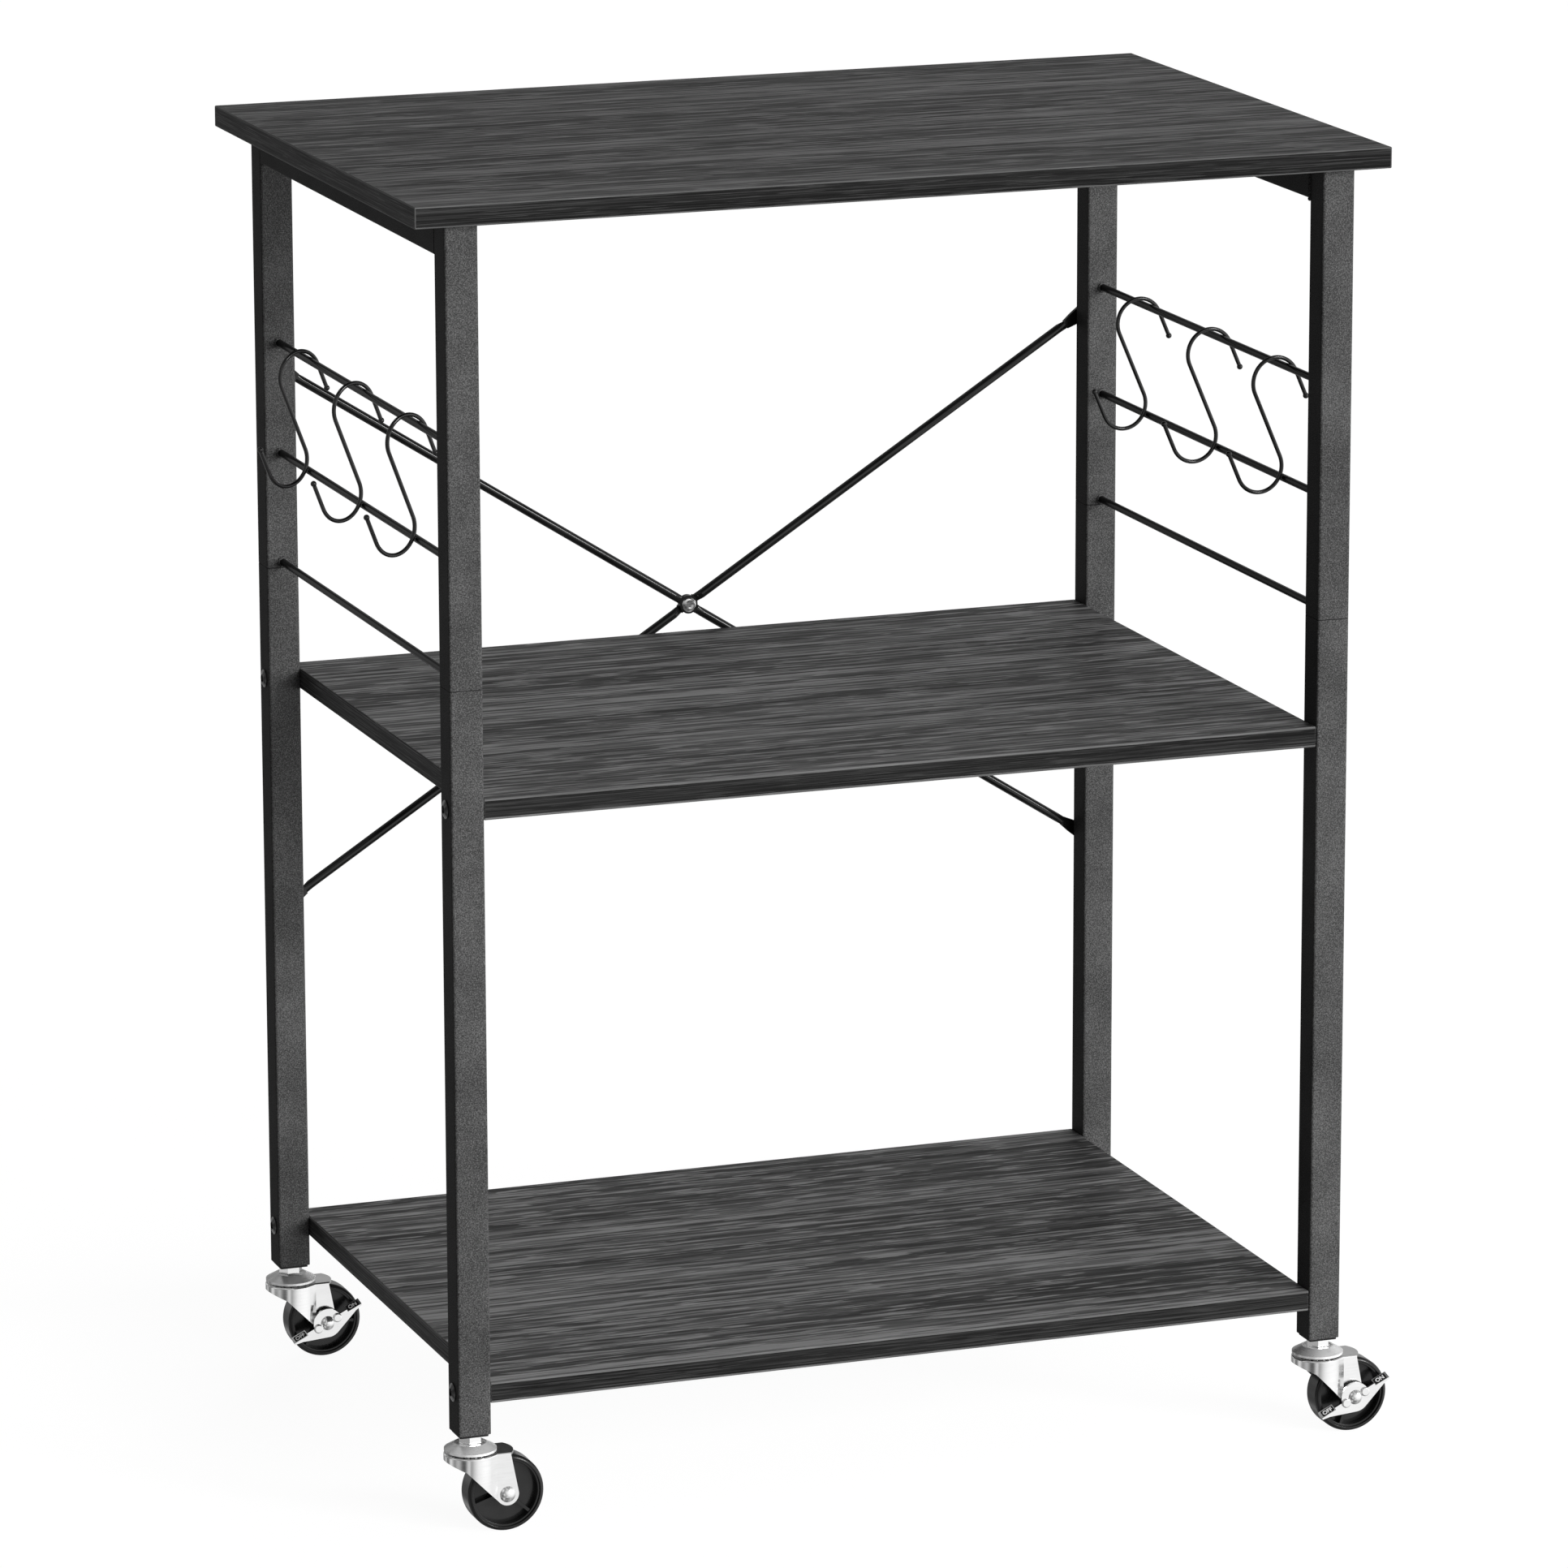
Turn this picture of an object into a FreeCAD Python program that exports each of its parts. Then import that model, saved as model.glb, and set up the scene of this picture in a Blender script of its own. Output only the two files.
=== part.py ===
import FreeCAD, Part
import math
import os
import types
import Sketcher

# Serving cart: three boards in a square-tube frame, side rods with S-hooks, a rear cross brace and
# swivel casters.
# Millimetres and degrees. +Z is up, +X is to the right, the front is at -Y.
# The origin lies on the floor under the middle of the cart.

sizes = {
    # boards
    "top_length": 600.0,
    "top_depth": 400.0,
    "board_thick": 12.7,
    "board_round": 0.8,
    "end_overhang": 20.0,
    "face_overhang": 8.0,
    "bottom_shelf_rise": 31.2,
    "middle_shelf_rise": 381.3,
    "shelf_setback": 1.0,
    # square tubes of the frame
    "post_side": 20.0,
    "post_wall": 1.2,
    "post_round": 1.6,
    "seam_over_shelf": 64.5,
    "upper_post_length": 269.7,
    "seam_round": 0.4,
    "coupler_length": 60.0,
    "coupler_wall": 1.2,
    "coupler_clearance": 0.1,
    # rods across the two sides
    "rod_diameter": 4.5,
    "lowest_rod_rise": 3.2,
    "rod_pitch": 68.05,
    # bolts and inserts of the shelves
    "shelf_bolt_diameter": 6.0,
    "shelf_bolt_bite": 18.0,
    "shelf_bolt_head": 11.0,
    "shelf_bolt_head_height": 2.2,
    "insert_wall": 1.2,
    "insert_length": 16.0,
    "bolt_clearance": 0.2,
    "thread_clearance": 0.05,
    # screws of the top board
    "top_screw_diameter": 4.0,
    "top_screw_bite": 9.0,
    "top_screw_head": 8.0,
    "top_screw_head_height": 2.4,
    "top_screw_place": 100.0,
    # rear cross brace
    "brace_diameter": 5.5,
    "brace_over_shelf": 16.2,
    "brace_rise": 172.0,
    "brace_flat": 2.4,
    "brace_end_width": 10.0,
    "brace_end_reach": 20.0,
    "brace_cross_width": 11.6,
    "brace_cross_gap": 0.4,
    "brace_blend": 4.5,
    "brace_screw_diameter": 5.0,
    "brace_screw_bite": 10.0,
    "brace_screw_head": 8.8,
    "brace_screw_head_height": 2.8,
    "brace_bolt_flange": 9.2,
    "brace_bolt_flange_thick": 1.0,
    "brace_bolt_head": 6.8,
    "brace_bolt_head_height": 3.4,
    "brace_nut_flats": 8.0,
    "brace_nut_height": 4.0,
    "brace_bolt_tail": 1.5,
    # plug and stem of a caster
    "plug_rim_thick": 1.5,
    "plug_rim_inset": 1.2,
    "plug_depth": 18.0,
    "plug_clearance": 0.1,
    "stem_diameter": 8.0,
    "stem_reach": 14.0,
    "stem_clearance": 0.05,
    "collar_flats": 12.8,
    "collar_height": 5.5,
    "collar_turn": 10.0,
    # swivel of a caster
    "raceway_diameter": 31.0,
    "raceway_top_diameter": 19.0,
    "raceway_height": 4.3,
    "raceway_lip": 1.4,
    "raceway_thick": 1.4,
    "raceway_bead": 0.5,
    "raceway_bead_width": 0.9,
    "swivel_gap": 1.1,
    "ball_ring_diameter": 16.0,
    "ball_clearance": 0.05,
    "pin_diameter": 7.0,
    "pin_clearance": 0.1,
    "pin_head_diameter": 12.0,
    "pin_head_height": 1.2,
    "pin_head_gap": 0.2,
    # fork of a caster
    "fork_cup_diameter": 31.6,
    "fork_sheet": 1.6,
    "fork_bend": 1.1,
    "fork_skirt": 3.3,
    "fork_gap": 17.5,
    "fork_reach": 25.6,
    "fork_nose": 3.8,
    "leg_flare": 1.2,
    "leg_back_reach": 6.6,
    "leg_back_drop": 8.6,
    "leg_end_radius": 6.8,
    # wheel and axle of a caster
    "wheel_diameter": 46.6,
    "wheel_width": 16.0,
    "wheel_trail": 19.5,
    "wheel_top_gap": 0.7,
    "wheel_shoulder": 2.4,
    "wheel_rim": 2.6,
    "wheel_ledge": 1.3,
    "wheel_ledge_depth": 1.2,
    "wheel_edge_round": 0.4,
    "wheel_web": 4.0,
    "hub_diameter": 13.0,
    "hub_side_gap": 0.3,
    "rib_thick": 1.8,
    "rib_setback": 2.0,
    "rib_angle": 78.0,
    "front_right_rib_angle": 12.0,
    "rear_left_rib_angle": 113.0,
    "axle_diameter": 6.0,
    "axle_clearance": 0.05,
    "axle_head_diameter": 9.8,
    "axle_head_height": 2.0,
    "lever_axle_head": 9.0,
    # brake lever of a caster
    "lever_thick": 1.6,
    "lever_standoff": 2.2,
    "lever_play": 0.2,
    "lever_hub": 9.0,
    "lever_disc": 18.4,
    "lever_reach": 24.5,
    "lever_end_width": 4.6,
    "lever_neck": 1.2,
    "lever_angle": 26.0,
    "tab_length": 10.0,
    "tab_depth": 5.0,
    "tab_slope": 32.0,
    "lobe_diameter": 5.8,
    "lobe_height": 1.3,
    "lobe_place": 6.9,
    # S-hooks
    "hook_wire": 2.5,
    "hook_loop_radius": 15.0,
    "hook_shank": 42.8,
    "hook_leg": 17.5,
    "hook_tip": 3.6,
    "hook_gap": 0.25,
    "hook_seat_angle": 37.5,
    "hook_left_angle": 22.0,
    "hook_right_angle": 5.0,
    # overrun of every cutting shape past the surface that it opens
    "overrun": 2.0,
}

# places of the hooks along their rod, as shares of half its length, from the rear to the front
left_hook_shares = (0.648, 0.010, -0.599)
right_hook_shares = (0.558, -0.094, -0.678)
hook_names = ("rear", "middle", "front")

# hexagon sockets, as shares of the head that carries them
socket_flats_share = 0.42
socket_depth_share = 0.55
cap_socket_share = 0.56

# the oval where a brace's round rod runs into its flats, as a share of the flat's section
oval_share = 0.94
head_edge_share = 0.3


class Size:
    """A length or angle: its formula in the sheet's cells, and its present value."""

    def __init__(self, formula, value):
        self.formula = formula
        self.value = value

    def __add__(self, other):
        return joined(self, "+", other, self.value + number(other))

    def __radd__(self, other):
        return joined(other, "+", self, number(other) + self.value)

    def __sub__(self, other):
        return joined(self, "-", other, self.value - number(other))

    def __rsub__(self, other):
        return joined(other, "-", self, number(other) - self.value)

    def __mul__(self, other):
        return joined(self, "*", other, self.value * number(other))

    def __rmul__(self, other):
        return joined(other, "*", self, number(other) * self.value)

    def __truediv__(self, other):
        return joined(self, "/", other, self.value / number(other))

    def __neg__(self):
        return joined(0, "-", self, -self.value)


def number(item):
    return item.value if isinstance(item, Size) else item


def formula(item):
    return item.formula if isinstance(item, Size) else "%.9f" % item


def joined(left, sign, right, value):
    return Size("(%s %s %s)" % (formula(left), sign, formula(right)), value)


def root(item):
    return Size("sqrt(%s)" % item.formula, math.sqrt(item.value))


def sine(angle):
    return Size("sin(%s * 1 deg)" % angle.formula, math.sin(math.radians(angle.value)))


def cosine(angle):
    return Size("cos(%s * 1 deg)" % angle.formula, math.cos(math.radians(angle.value)))


def arc_cosine(share):
    return Size("(acos(%s) / 1 deg)" % share.formula, math.degrees(math.acos(share.value)))


def arc_tangent(share):
    return Size("(atan(%s) / 1 deg)" % share.formula, math.degrees(math.atan(share.value)))


doc = FreeCAD.newDocument("ServingCart")
sheet = doc.addObject("Spreadsheet::Sheet", "Sizes")
for row, (name, amount) in enumerate(sizes.items(), start=1):
    sheet.set("A%d" % row, name)
    sheet.set("B%d" % row, str(amount))
    sheet.setAlias("B%d" % row, name)
doc.recompute()

dim = types.SimpleNamespace(**{name: Size("Sizes." + name, amount) for name, amount in sizes.items()})
zero = Size("0", 0.0)
nodes = {}


def keep(name, thing):
    thing.Label = name
    nodes[name] = thing


def place(thing, x=zero, y=zero, z=zero, yaw=zero, pitch=zero, roll=zero):
    base = "vector(%s; %s; %s)" % (formula(x), formula(y), formula(z))
    turn = "rotation(%s * 1 deg; %s * 1 deg; %s * 1 deg)" % (formula(yaw), formula(pitch), formula(roll))
    thing.setExpression("Placement", "placement(%s; %s)" % (base, turn))


def bind(thing, **amounts):
    for path, amount in amounts.items():
        thing.setExpression(path, formula(amount))


def new_body(name):
    return doc.addObject("PartDesign::Body", name)


def sketch_on(body, role, lift=zero):
    sketch = body.newObject("Sketcher::SketchObject", "Sketch")
    plane = [item for item in body.Origin.OriginFeatures if item.Role == role][0]
    sketch.AttachmentSupport = (plane, [""])
    sketch.MapMode = "FlatFace"
    sketch.setExpression("AttachmentOffset.Base.z", formula(lift))
    return sketch


def hold(sketch, constraint, amount):
    index = sketch.addConstraint(constraint)
    sketch.setExpression("Constraints[%d]" % index, formula(amount))


def pin(sketch, piece, end, x, y):
    hold(sketch, Sketcher.Constraint("DistanceX", -1, 1, piece, end, number(x)), x)
    hold(sketch, Sketcher.Constraint("DistanceY", -1, 1, piece, end, number(y)), y)


def flat(x, y):
    return FreeCAD.Vector(number(x), number(y), 0)


def draw_outline(sketch, corners, domes=None):
    # a closed outline through the corners; a dome is the radius of the arc that leaves that corner and
    # bulges outward
    domes = domes or {}
    pieces = []
    for index, start in enumerate(corners):
        finish = corners[(index + 1) % len(corners)]
        a = flat(*start)
        b = flat(*finish)
        if index not in domes:
            pieces.append((sketch.addGeometry(Part.LineSegment(a, b)), 1, 2))
            continue
        radius = domes[index].value
        along = b - a
        side = FreeCAD.Vector(-along.y, along.x, 0).normalize()
        centre = (a + b) * 0.5 + side * math.sqrt(max(radius ** 2 - along.Length ** 2 / 4, 0))
        circle = Part.Circle(centre, FreeCAD.Vector(0, 0, 1), radius)
        first = math.atan2(a.y - centre.y, a.x - centre.x)
        last = math.atan2(b.y - centre.y, b.x - centre.x)
        arc = sketch.addGeometry(Part.ArcOfCircle(circle, first, last))
        hold(sketch, Sketcher.Constraint("Radius", arc, radius), domes[index])
        pieces.append((arc, 1, 2))
    for index, (piece, start, finish) in enumerate(pieces):
        following, begin, _ = pieces[(index + 1) % len(pieces)]
        sketch.addConstraint(Sketcher.Constraint("Coincident", piece, finish, following, begin))
        pin(sketch, piece, start, *corners[index])


def draw_circle(sketch, diameter, x=zero, y=zero):
    circle = sketch.addGeometry(Part.Circle(flat(x, y), FreeCAD.Vector(0, 0, 1), number(diameter) / 2))
    pin(sketch, circle, 3, x, y)
    hold(sketch, Sketcher.Constraint("Diameter", circle, number(diameter)), diameter)


def draw_rectangle(sketch, x0, y0, x1, y1):
    draw_outline(sketch, [(x0, y0), (x1, y0), (x1, y1), (x0, y1)])


def draw_hexagon(sketch, flats):
    corner = flats / math.sqrt(3)
    turns = [math.radians(60 * index) for index in range(6)]
    draw_outline(sketch, [(corner * math.cos(turn), corner * math.sin(turn)) for turn in turns])


def draw_rounded_square(sketch, side, round_radius):
    inner = side / 2 - round_radius
    up = FreeCAD.Vector(0, 0, 1)
    quarters = []
    for index, (sx, sy) in enumerate(((1, 1), (-1, 1), (-1, -1), (1, -1))):
        circle = Part.Circle(flat(inner * sx, inner * sy), up, round_radius.value)
        start = index * math.pi / 2
        arc = sketch.addGeometry(Part.ArcOfCircle(circle, start, start + math.pi / 2))
        pin(sketch, arc, 3, inner * sx, inner * sy)
        hold(sketch, Sketcher.Constraint("Radius", arc, round_radius.value), round_radius)
        quarters.append(arc)
    for arc, following in zip(quarters, quarters[1:] + quarters[:1]):
        a = sketch.getPoint(arc, 2)
        b = sketch.getPoint(following, 1)
        line = sketch.addGeometry(Part.LineSegment(a, b))
        sketch.addConstraint(Sketcher.Constraint("Tangent", arc, 2, line, 1))
        sketch.addConstraint(Sketcher.Constraint("Tangent", line, 2, following, 1))


def pad(body, sketch, length, both=False, back=False):
    feature = body.newObject("PartDesign::Pad", "Pad")
    feature.Profile = sketch
    feature.SideType = "Symmetric" if both else "One side"
    feature.Reversed = back
    bind(feature, Length=length)
    return feature


def pocket(body, sketch, depth, both=False, back=False):
    doc.recompute()
    before = body.Shape.Volume
    feature = body.newObject("PartDesign::Pocket", "Pocket")
    feature.Profile = sketch
    feature.SideType = "Symmetric" if both else "One side"
    feature.Reversed = back
    bind(feature, Length=depth)
    doc.recompute()
    if body.Shape.Volume >= before:
        raise ValueError("a pocket of %s cuts nothing" % body.Name)
    return feature


def revolve(body, sketch, axis):
    feature = body.newObject("PartDesign::Revolution", "Revolution")
    feature.Profile = sketch
    feature.ReferenceAxis = (sketch, [axis])
    feature.Angle = 360
    return feature


def soften(body, radius, wanted):
    # rounds the edges of the body for which wanted() is true
    doc.recompute()
    tip = body.Tip
    names = ["Edge%d" % (index + 1) for index, edge in enumerate(tip.Shape.Edges) if wanted(edge)]
    feature = body.newObject("PartDesign::Fillet", "Fillet")
    feature.Base = (tip, names)
    bind(feature, Radius=radius)
    return feature


def dome_radius(half_width, height):
    return (half_width * half_width + height * height) / (height * 2)


def touching_point(px, py, cx, cy, radius, side):
    # where the line from (px, py) touches the circle, on its left (1) or right (-1) as seen from the
    # circle's centre
    dx = px - cx
    dy = py - cy
    square = dx * dx + dy * dy
    along = radius * radius / square
    across = radius * root(square - radius * radius) / square * side
    return (cx + dx * along - dy * across, cy + dy * along + dx * across)


def group(name, things):
    compound = doc.addObject("Part::Compound", "Group")
    compound.Links = things
    keep(name, compound)


# heights and places that follow from the sizes
axle_height = dim.wheel_diameter / 2
fork_top = dim.wheel_diameter + dim.wheel_top_gap + dim.fork_sheet
lip_bottom = fork_top + dim.swivel_gap
raceway_top = lip_bottom + dim.raceway_height
collar_top = raceway_top + dim.collar_height
post_foot = collar_top + dim.plug_rim_thick
bottom_shelf_top = post_foot + dim.bottom_shelf_rise
middle_shelf_top = post_foot + dim.middle_shelf_rise
seam = middle_shelf_top + dim.seam_over_shelf
post_head = seam + dim.upper_post_length
lower_post_length = seam - post_foot
post_half = dim.post_side / 2
frame_half_length = dim.top_length / 2 - dim.end_overhang
frame_half_depth = dim.top_depth / 2 - dim.face_overhang
post_x = frame_half_length - post_half
post_y = frame_half_depth - post_half
span_half = post_y - post_half
shelf_half_length = post_x - post_half
post_bore = dim.post_side - dim.post_wall * 2
brace_height = middle_shelf_top + dim.brace_over_shelf
corners = {
    "front_left": (-1, -1),
    "front_right": (1, -1),
    "rear_left": (-1, 1),
    "rear_right": (1, 1),
}

# boards
insert_diameter = dim.shelf_bolt_diameter + dim.thread_clearance * 2 + dim.insert_wall * 2
insert_hole = insert_diameter + dim.thread_clearance * 2


def board(name, half_length, half_depth, top):
    body = new_body("Board")
    sketch = sketch_on(body, "XY_Plane")
    draw_rectangle(sketch, -half_length, -half_depth, half_length, half_depth)
    pad(body, sketch, dim.board_thick)
    soften(body, dim.board_round, lambda edge: True)
    place(body, z=top - dim.board_thick)
    keep(name, body)
    return body


top_board = board("top_board", dim.top_length / 2, dim.top_depth / 2, post_head + dim.board_thick)
pilot_sketch = sketch_on(top_board, "XY_Plane")
for sx, sy in corners.values():
    pilot_hole = dim.top_screw_diameter + dim.thread_clearance * 2
    draw_circle(pilot_sketch, pilot_hole, post_x * sx, dim.top_screw_place * sy)
pocket(top_board, pilot_sketch, dim.top_screw_bite + dim.thread_clearance, back=True)

for shelf_name, shelf_top in (("middle_shelf", middle_shelf_top), ("bottom_shelf", bottom_shelf_top)):
    shelf = board(shelf_name, shelf_half_length, frame_half_depth - dim.shelf_setback, shelf_top)
    for sx in (-1, 1):
        end_sketch = sketch_on(shelf, "YZ_Plane", shelf_half_length * sx)
        for sy in (-1, 1):
            draw_circle(end_sketch, insert_hole, post_y * sy, dim.board_thick / 2)
        pocket(shelf, end_sketch, dim.shelf_bolt_bite + dim.thread_clearance, back=sx < 0)


# posts, rails and the sleeves in the posts' seams
def square_tube(side, wall, round_radius, length):
    body = new_body("Tube")
    sketch = sketch_on(body, "XY_Plane")
    draw_rounded_square(sketch, side, round_radius)
    draw_rounded_square(sketch, side - wall * 2, round_radius / 2)
    pad(body, sketch, length)
    return body


def round_seam(tube, height):
    # rounds the outer rim of a post's end
    near = dim.post_wall.value / 2

    def on_rim(edge):
        box = edge.BoundBox
        outer = max(box.XMax, box.YMax, -box.XMin, -box.YMin) > post_half.value - near
        return outer and box.ZMin > height.value - near and box.ZMax < height.value + near

    soften(tube, dim.seam_round, on_rim)


bolt_hole = dim.shelf_bolt_diameter + dim.bolt_clearance * 2
brace_hole = dim.brace_screw_diameter + dim.bolt_clearance * 2
through = dim.post_side + dim.overrun * 2
bolt_heights = [top - dim.board_thick / 2 for top in (middle_shelf_top, bottom_shelf_top)]
for corner, (sx, sy) in corners.items():
    lower = square_tube(dim.post_side, dim.post_wall, dim.post_round, lower_post_length)
    round_seam(lower, lower_post_length)
    bolt_sketch = sketch_on(lower, "YZ_Plane")
    for height in bolt_heights:
        draw_circle(bolt_sketch, bolt_hole, zero, height - post_foot)
    pocket(lower, bolt_sketch, through, both=True)
    upper = square_tube(dim.post_side, dim.post_wall, dim.post_round, dim.upper_post_length)
    round_seam(upper, zero)
    if sy > 0:
        low_hole = brace_height - dim.brace_rise - post_foot
        high_hole = brace_height + dim.brace_rise - seam
        for tube, height in ((lower, low_hole), (upper, high_hole)):
            rear_sketch = sketch_on(tube, "XZ_Plane")
            draw_circle(rear_sketch, brace_hole, zero, height)
            pocket(tube, rear_sketch, post_half + dim.overrun)
    place(lower, post_x * sx, post_y * sy, post_foot)
    place(upper, post_x * sx, post_y * sy, seam)
    keep(corner + "_lower_post", lower)
    keep(corner + "_upper_post", upper)

rail_hole = dim.top_screw_diameter + dim.bolt_clearance * 2
for side_name, sx in (("left", -1), ("right", 1)):
    rail = square_tube(dim.post_side, dim.post_wall, dim.post_round, span_half * 2)
    rail_sketch = sketch_on(rail, "XZ_Plane")
    for sy in (-1, 1):
        draw_circle(rail_sketch, rail_hole, zero, span_half + dim.top_screw_place * sy)
    pocket(rail, rail_sketch, through, both=True)
    place(rail, post_x * sx, -span_half, post_head - post_half, roll=-90)
    keep(side_name + "_top_rail", rail)

couplers = []
coupler_side = post_bore - dim.coupler_clearance * 2
for sx, sy in corners.values():
    sleeve = square_tube(coupler_side, dim.coupler_wall, dim.post_round / 2, dim.coupler_length)
    place(sleeve, post_x * sx, post_y * sy, seam - dim.coupler_length / 2)
    couplers.append(sleeve)
group("post_couplers", couplers)

# side rods
rod_heights = [seam + dim.lowest_rod_rise + dim.rod_pitch * step for step in (2, 1, 0)]
for side_name, sx in (("left", -1), ("right", 1)):
    rods = []
    for height in rod_heights:
        rod = doc.addObject("Part::Cylinder", "Rod")
        bind(rod, Radius=dim.rod_diameter / 2, Height=span_half * 2)
        place(rod, post_x * sx, -span_half, height, roll=-90)
        rods.append(rod)
    group(side_name + "_side_rods", rods)


# bolts and screws: the shank runs down from the head's seat at the local origin
def bolt(diameter, length, head, head_height):
    body = new_body("Bolt")
    sketch = sketch_on(body, "XZ_Plane")
    edge = head_height * head_edge_share
    outline = [
        (zero, -length),
        (diameter / 2, -length),
        (diameter / 2, zero),
        (head / 2, zero),
        (head / 2, edge),
        (zero, head_height),
    ]
    draw_outline(sketch, outline, {4: dome_radius(head / 2, head_height - edge)})
    revolve(body, sketch, "V_Axis")
    socket = sketch_on(body, "XY_Plane", head_height)
    draw_hexagon(socket, head * socket_flats_share)
    pocket(body, socket, head_height * socket_depth_share)
    return body


shelf_bolts = []
shelf_inserts = []
for height in bolt_heights:
    for sx, sy in corners.values():
        length = dim.post_side + dim.shelf_bolt_bite
        shelf_bolt = bolt(dim.shelf_bolt_diameter, length, dim.shelf_bolt_head, dim.shelf_bolt_head_height)
        place(shelf_bolt, frame_half_length * sx, post_y * sy, height, pitch=90 * sx)
        shelf_bolts.append(shelf_bolt)
        barrel = doc.addObject("Part::Cylinder", "Barrel")
        bind(barrel, Radius=insert_diameter / 2, Height=dim.insert_length)
        place(barrel, shelf_half_length * sx, post_y * sy, height, pitch=-90 * sx)
        bore = doc.addObject("Part::Cylinder", "Bore")
        bore_radius = dim.shelf_bolt_diameter / 2 + dim.thread_clearance
        bind(bore, Radius=bore_radius, Height=dim.insert_length + dim.overrun * 2)
        place(bore, (shelf_half_length + dim.overrun) * sx, post_y * sy, height, pitch=-90 * sx)
        insert = doc.addObject("Part::Cut", "Insert")
        insert.Base = barrel
        insert.Tool = bore
        shelf_inserts.append(insert)
group("shelf_bolts", shelf_bolts)
group("shelf_inserts", shelf_inserts)

top_screws = []
for sx, sy in corners.values():
    length = dim.post_side + dim.top_screw_bite
    screw = bolt(dim.top_screw_diameter, length, dim.top_screw_head, dim.top_screw_head_height)
    place(screw, post_x * sx, dim.top_screw_place * sy, post_head - dim.post_side, pitch=180)
    top_screws.append(screw)
group("top_board_screws", top_screws)


# rear cross brace: each rod lies along its local X axis, flattened to a round eye in the middle and to a
# swelling eye at both ends
brace_radius = dim.brace_diameter / 2
brace_half = root(post_x * post_x + dim.brace_rise * dim.brace_rise)
brace_angle = arc_tangent(dim.brace_rise / post_x)
cross_half = dim.brace_cross_width / 2 + dim.brace_cross_gap
cross_end = cross_half + dim.brace_blend
eye_start = brace_half - dim.brace_end_reach
round_end = eye_start - dim.brace_blend


def round_section(body, lift):
    sketch = sketch_on(body, "YZ_Plane", lift)
    sketch.AttachmentOffset = FreeCAD.Placement(
        sketch.AttachmentOffset.Base, FreeCAD.Rotation(FreeCAD.Vector(0, 0, 1), 90))
    draw_circle(sketch, dim.brace_diameter)
    return sketch


def flat_section(body, lift, middle):
    # an oval that lies inside the end of the flat
    sketch = sketch_on(body, "YZ_Plane", lift)
    width = dim.brace_diameter * oval_share
    thick = dim.brace_flat * oval_share
    centre = flat(middle, zero)
    top = centre + flat(zero, width / 2)
    side = centre + flat(thick / 2, zero)
    oval = sketch.addGeometry(Part.Ellipse(top, side, centre))
    sketch.exposeInternalGeometry(oval)
    pin(sketch, oval, 3, middle, zero)
    sketch.addConstraint(Sketcher.Constraint("Vertical", oval + 1))
    hold(sketch, Sketcher.Constraint("Distance", oval + 1, width.value), width)
    hold(sketch, Sketcher.Constraint("Distance", oval + 2, thick.value), thick)
    return sketch


def blend(body, start, finish):
    loft = body.newObject("PartDesign::AdditiveLoft", "Blend")
    loft.Profile = start
    loft.Sections = [finish]


def brace(name, cross_back, pitch):
    body = new_body("Brace")
    cross_middle = cross_back - dim.brace_flat / 2
    eye_middle = dim.brace_flat / 2 - brace_radius
    eye_half = dim.brace_end_width / 2
    swelling = dome_radius(dim.brace_end_reach, eye_half - brace_radius)
    neck_sketch = sketch_on(body, "XZ_Plane", -cross_back)
    draw_rectangle(neck_sketch, -cross_half, -brace_radius, cross_half, brace_radius)
    pad(body, neck_sketch, dim.brace_flat)
    cross_sketch = sketch_on(body, "XZ_Plane", -cross_back)
    draw_circle(cross_sketch, dim.brace_cross_width)
    pad(body, cross_sketch, dim.brace_flat)
    for side in (-1, 1):
        cross_oval = flat_section(body, cross_half * side, cross_middle)
        blend(body, cross_oval, round_section(body, cross_end * side))
        shaft_sketch = sketch_on(body, "YZ_Plane", cross_end * side)
        draw_circle(shaft_sketch, dim.brace_diameter)
        pad(body, shaft_sketch, round_end - cross_end, back=side < 0)
        eye_oval = flat_section(body, eye_start * side, eye_middle)
        blend(body, round_section(body, round_end * side), eye_oval)
        eye_sketch = sketch_on(body, "XZ_Plane", brace_radius - dim.brace_flat)
        eye_ends = [(eye_start * side, brace_radius), (brace_half * side, eye_half)]
        low_left, low_right = [(x, -z) for x, z in eye_ends[::side]]
        high_right, high_left = eye_ends[::-side]
        draw_outline(eye_sketch, [low_left, low_right, high_right, high_left], {0: swelling, 2: swelling})
        pad(body, eye_sketch, dim.brace_flat)
        tip_sketch = sketch_on(body, "XZ_Plane", brace_radius - dim.brace_flat)
        draw_circle(tip_sketch, dim.brace_end_width, brace_half * side)
        pad(body, tip_sketch, dim.brace_flat)
    hole_sketch = sketch_on(body, "XZ_Plane")
    for middle in (-brace_half, zero, brace_half):
        draw_circle(hole_sketch, brace_hole, middle)
    pocket(body, hole_sketch, dim.brace_diameter + dim.brace_flat * 2 + dim.overrun, both=True)
    place(body, zero, frame_half_depth + brace_radius, brace_height, pitch=pitch)
    keep(name, body)


brace("falling_brace", zero, brace_angle)
brace("rising_brace", dim.brace_flat, -brace_angle)

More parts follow.
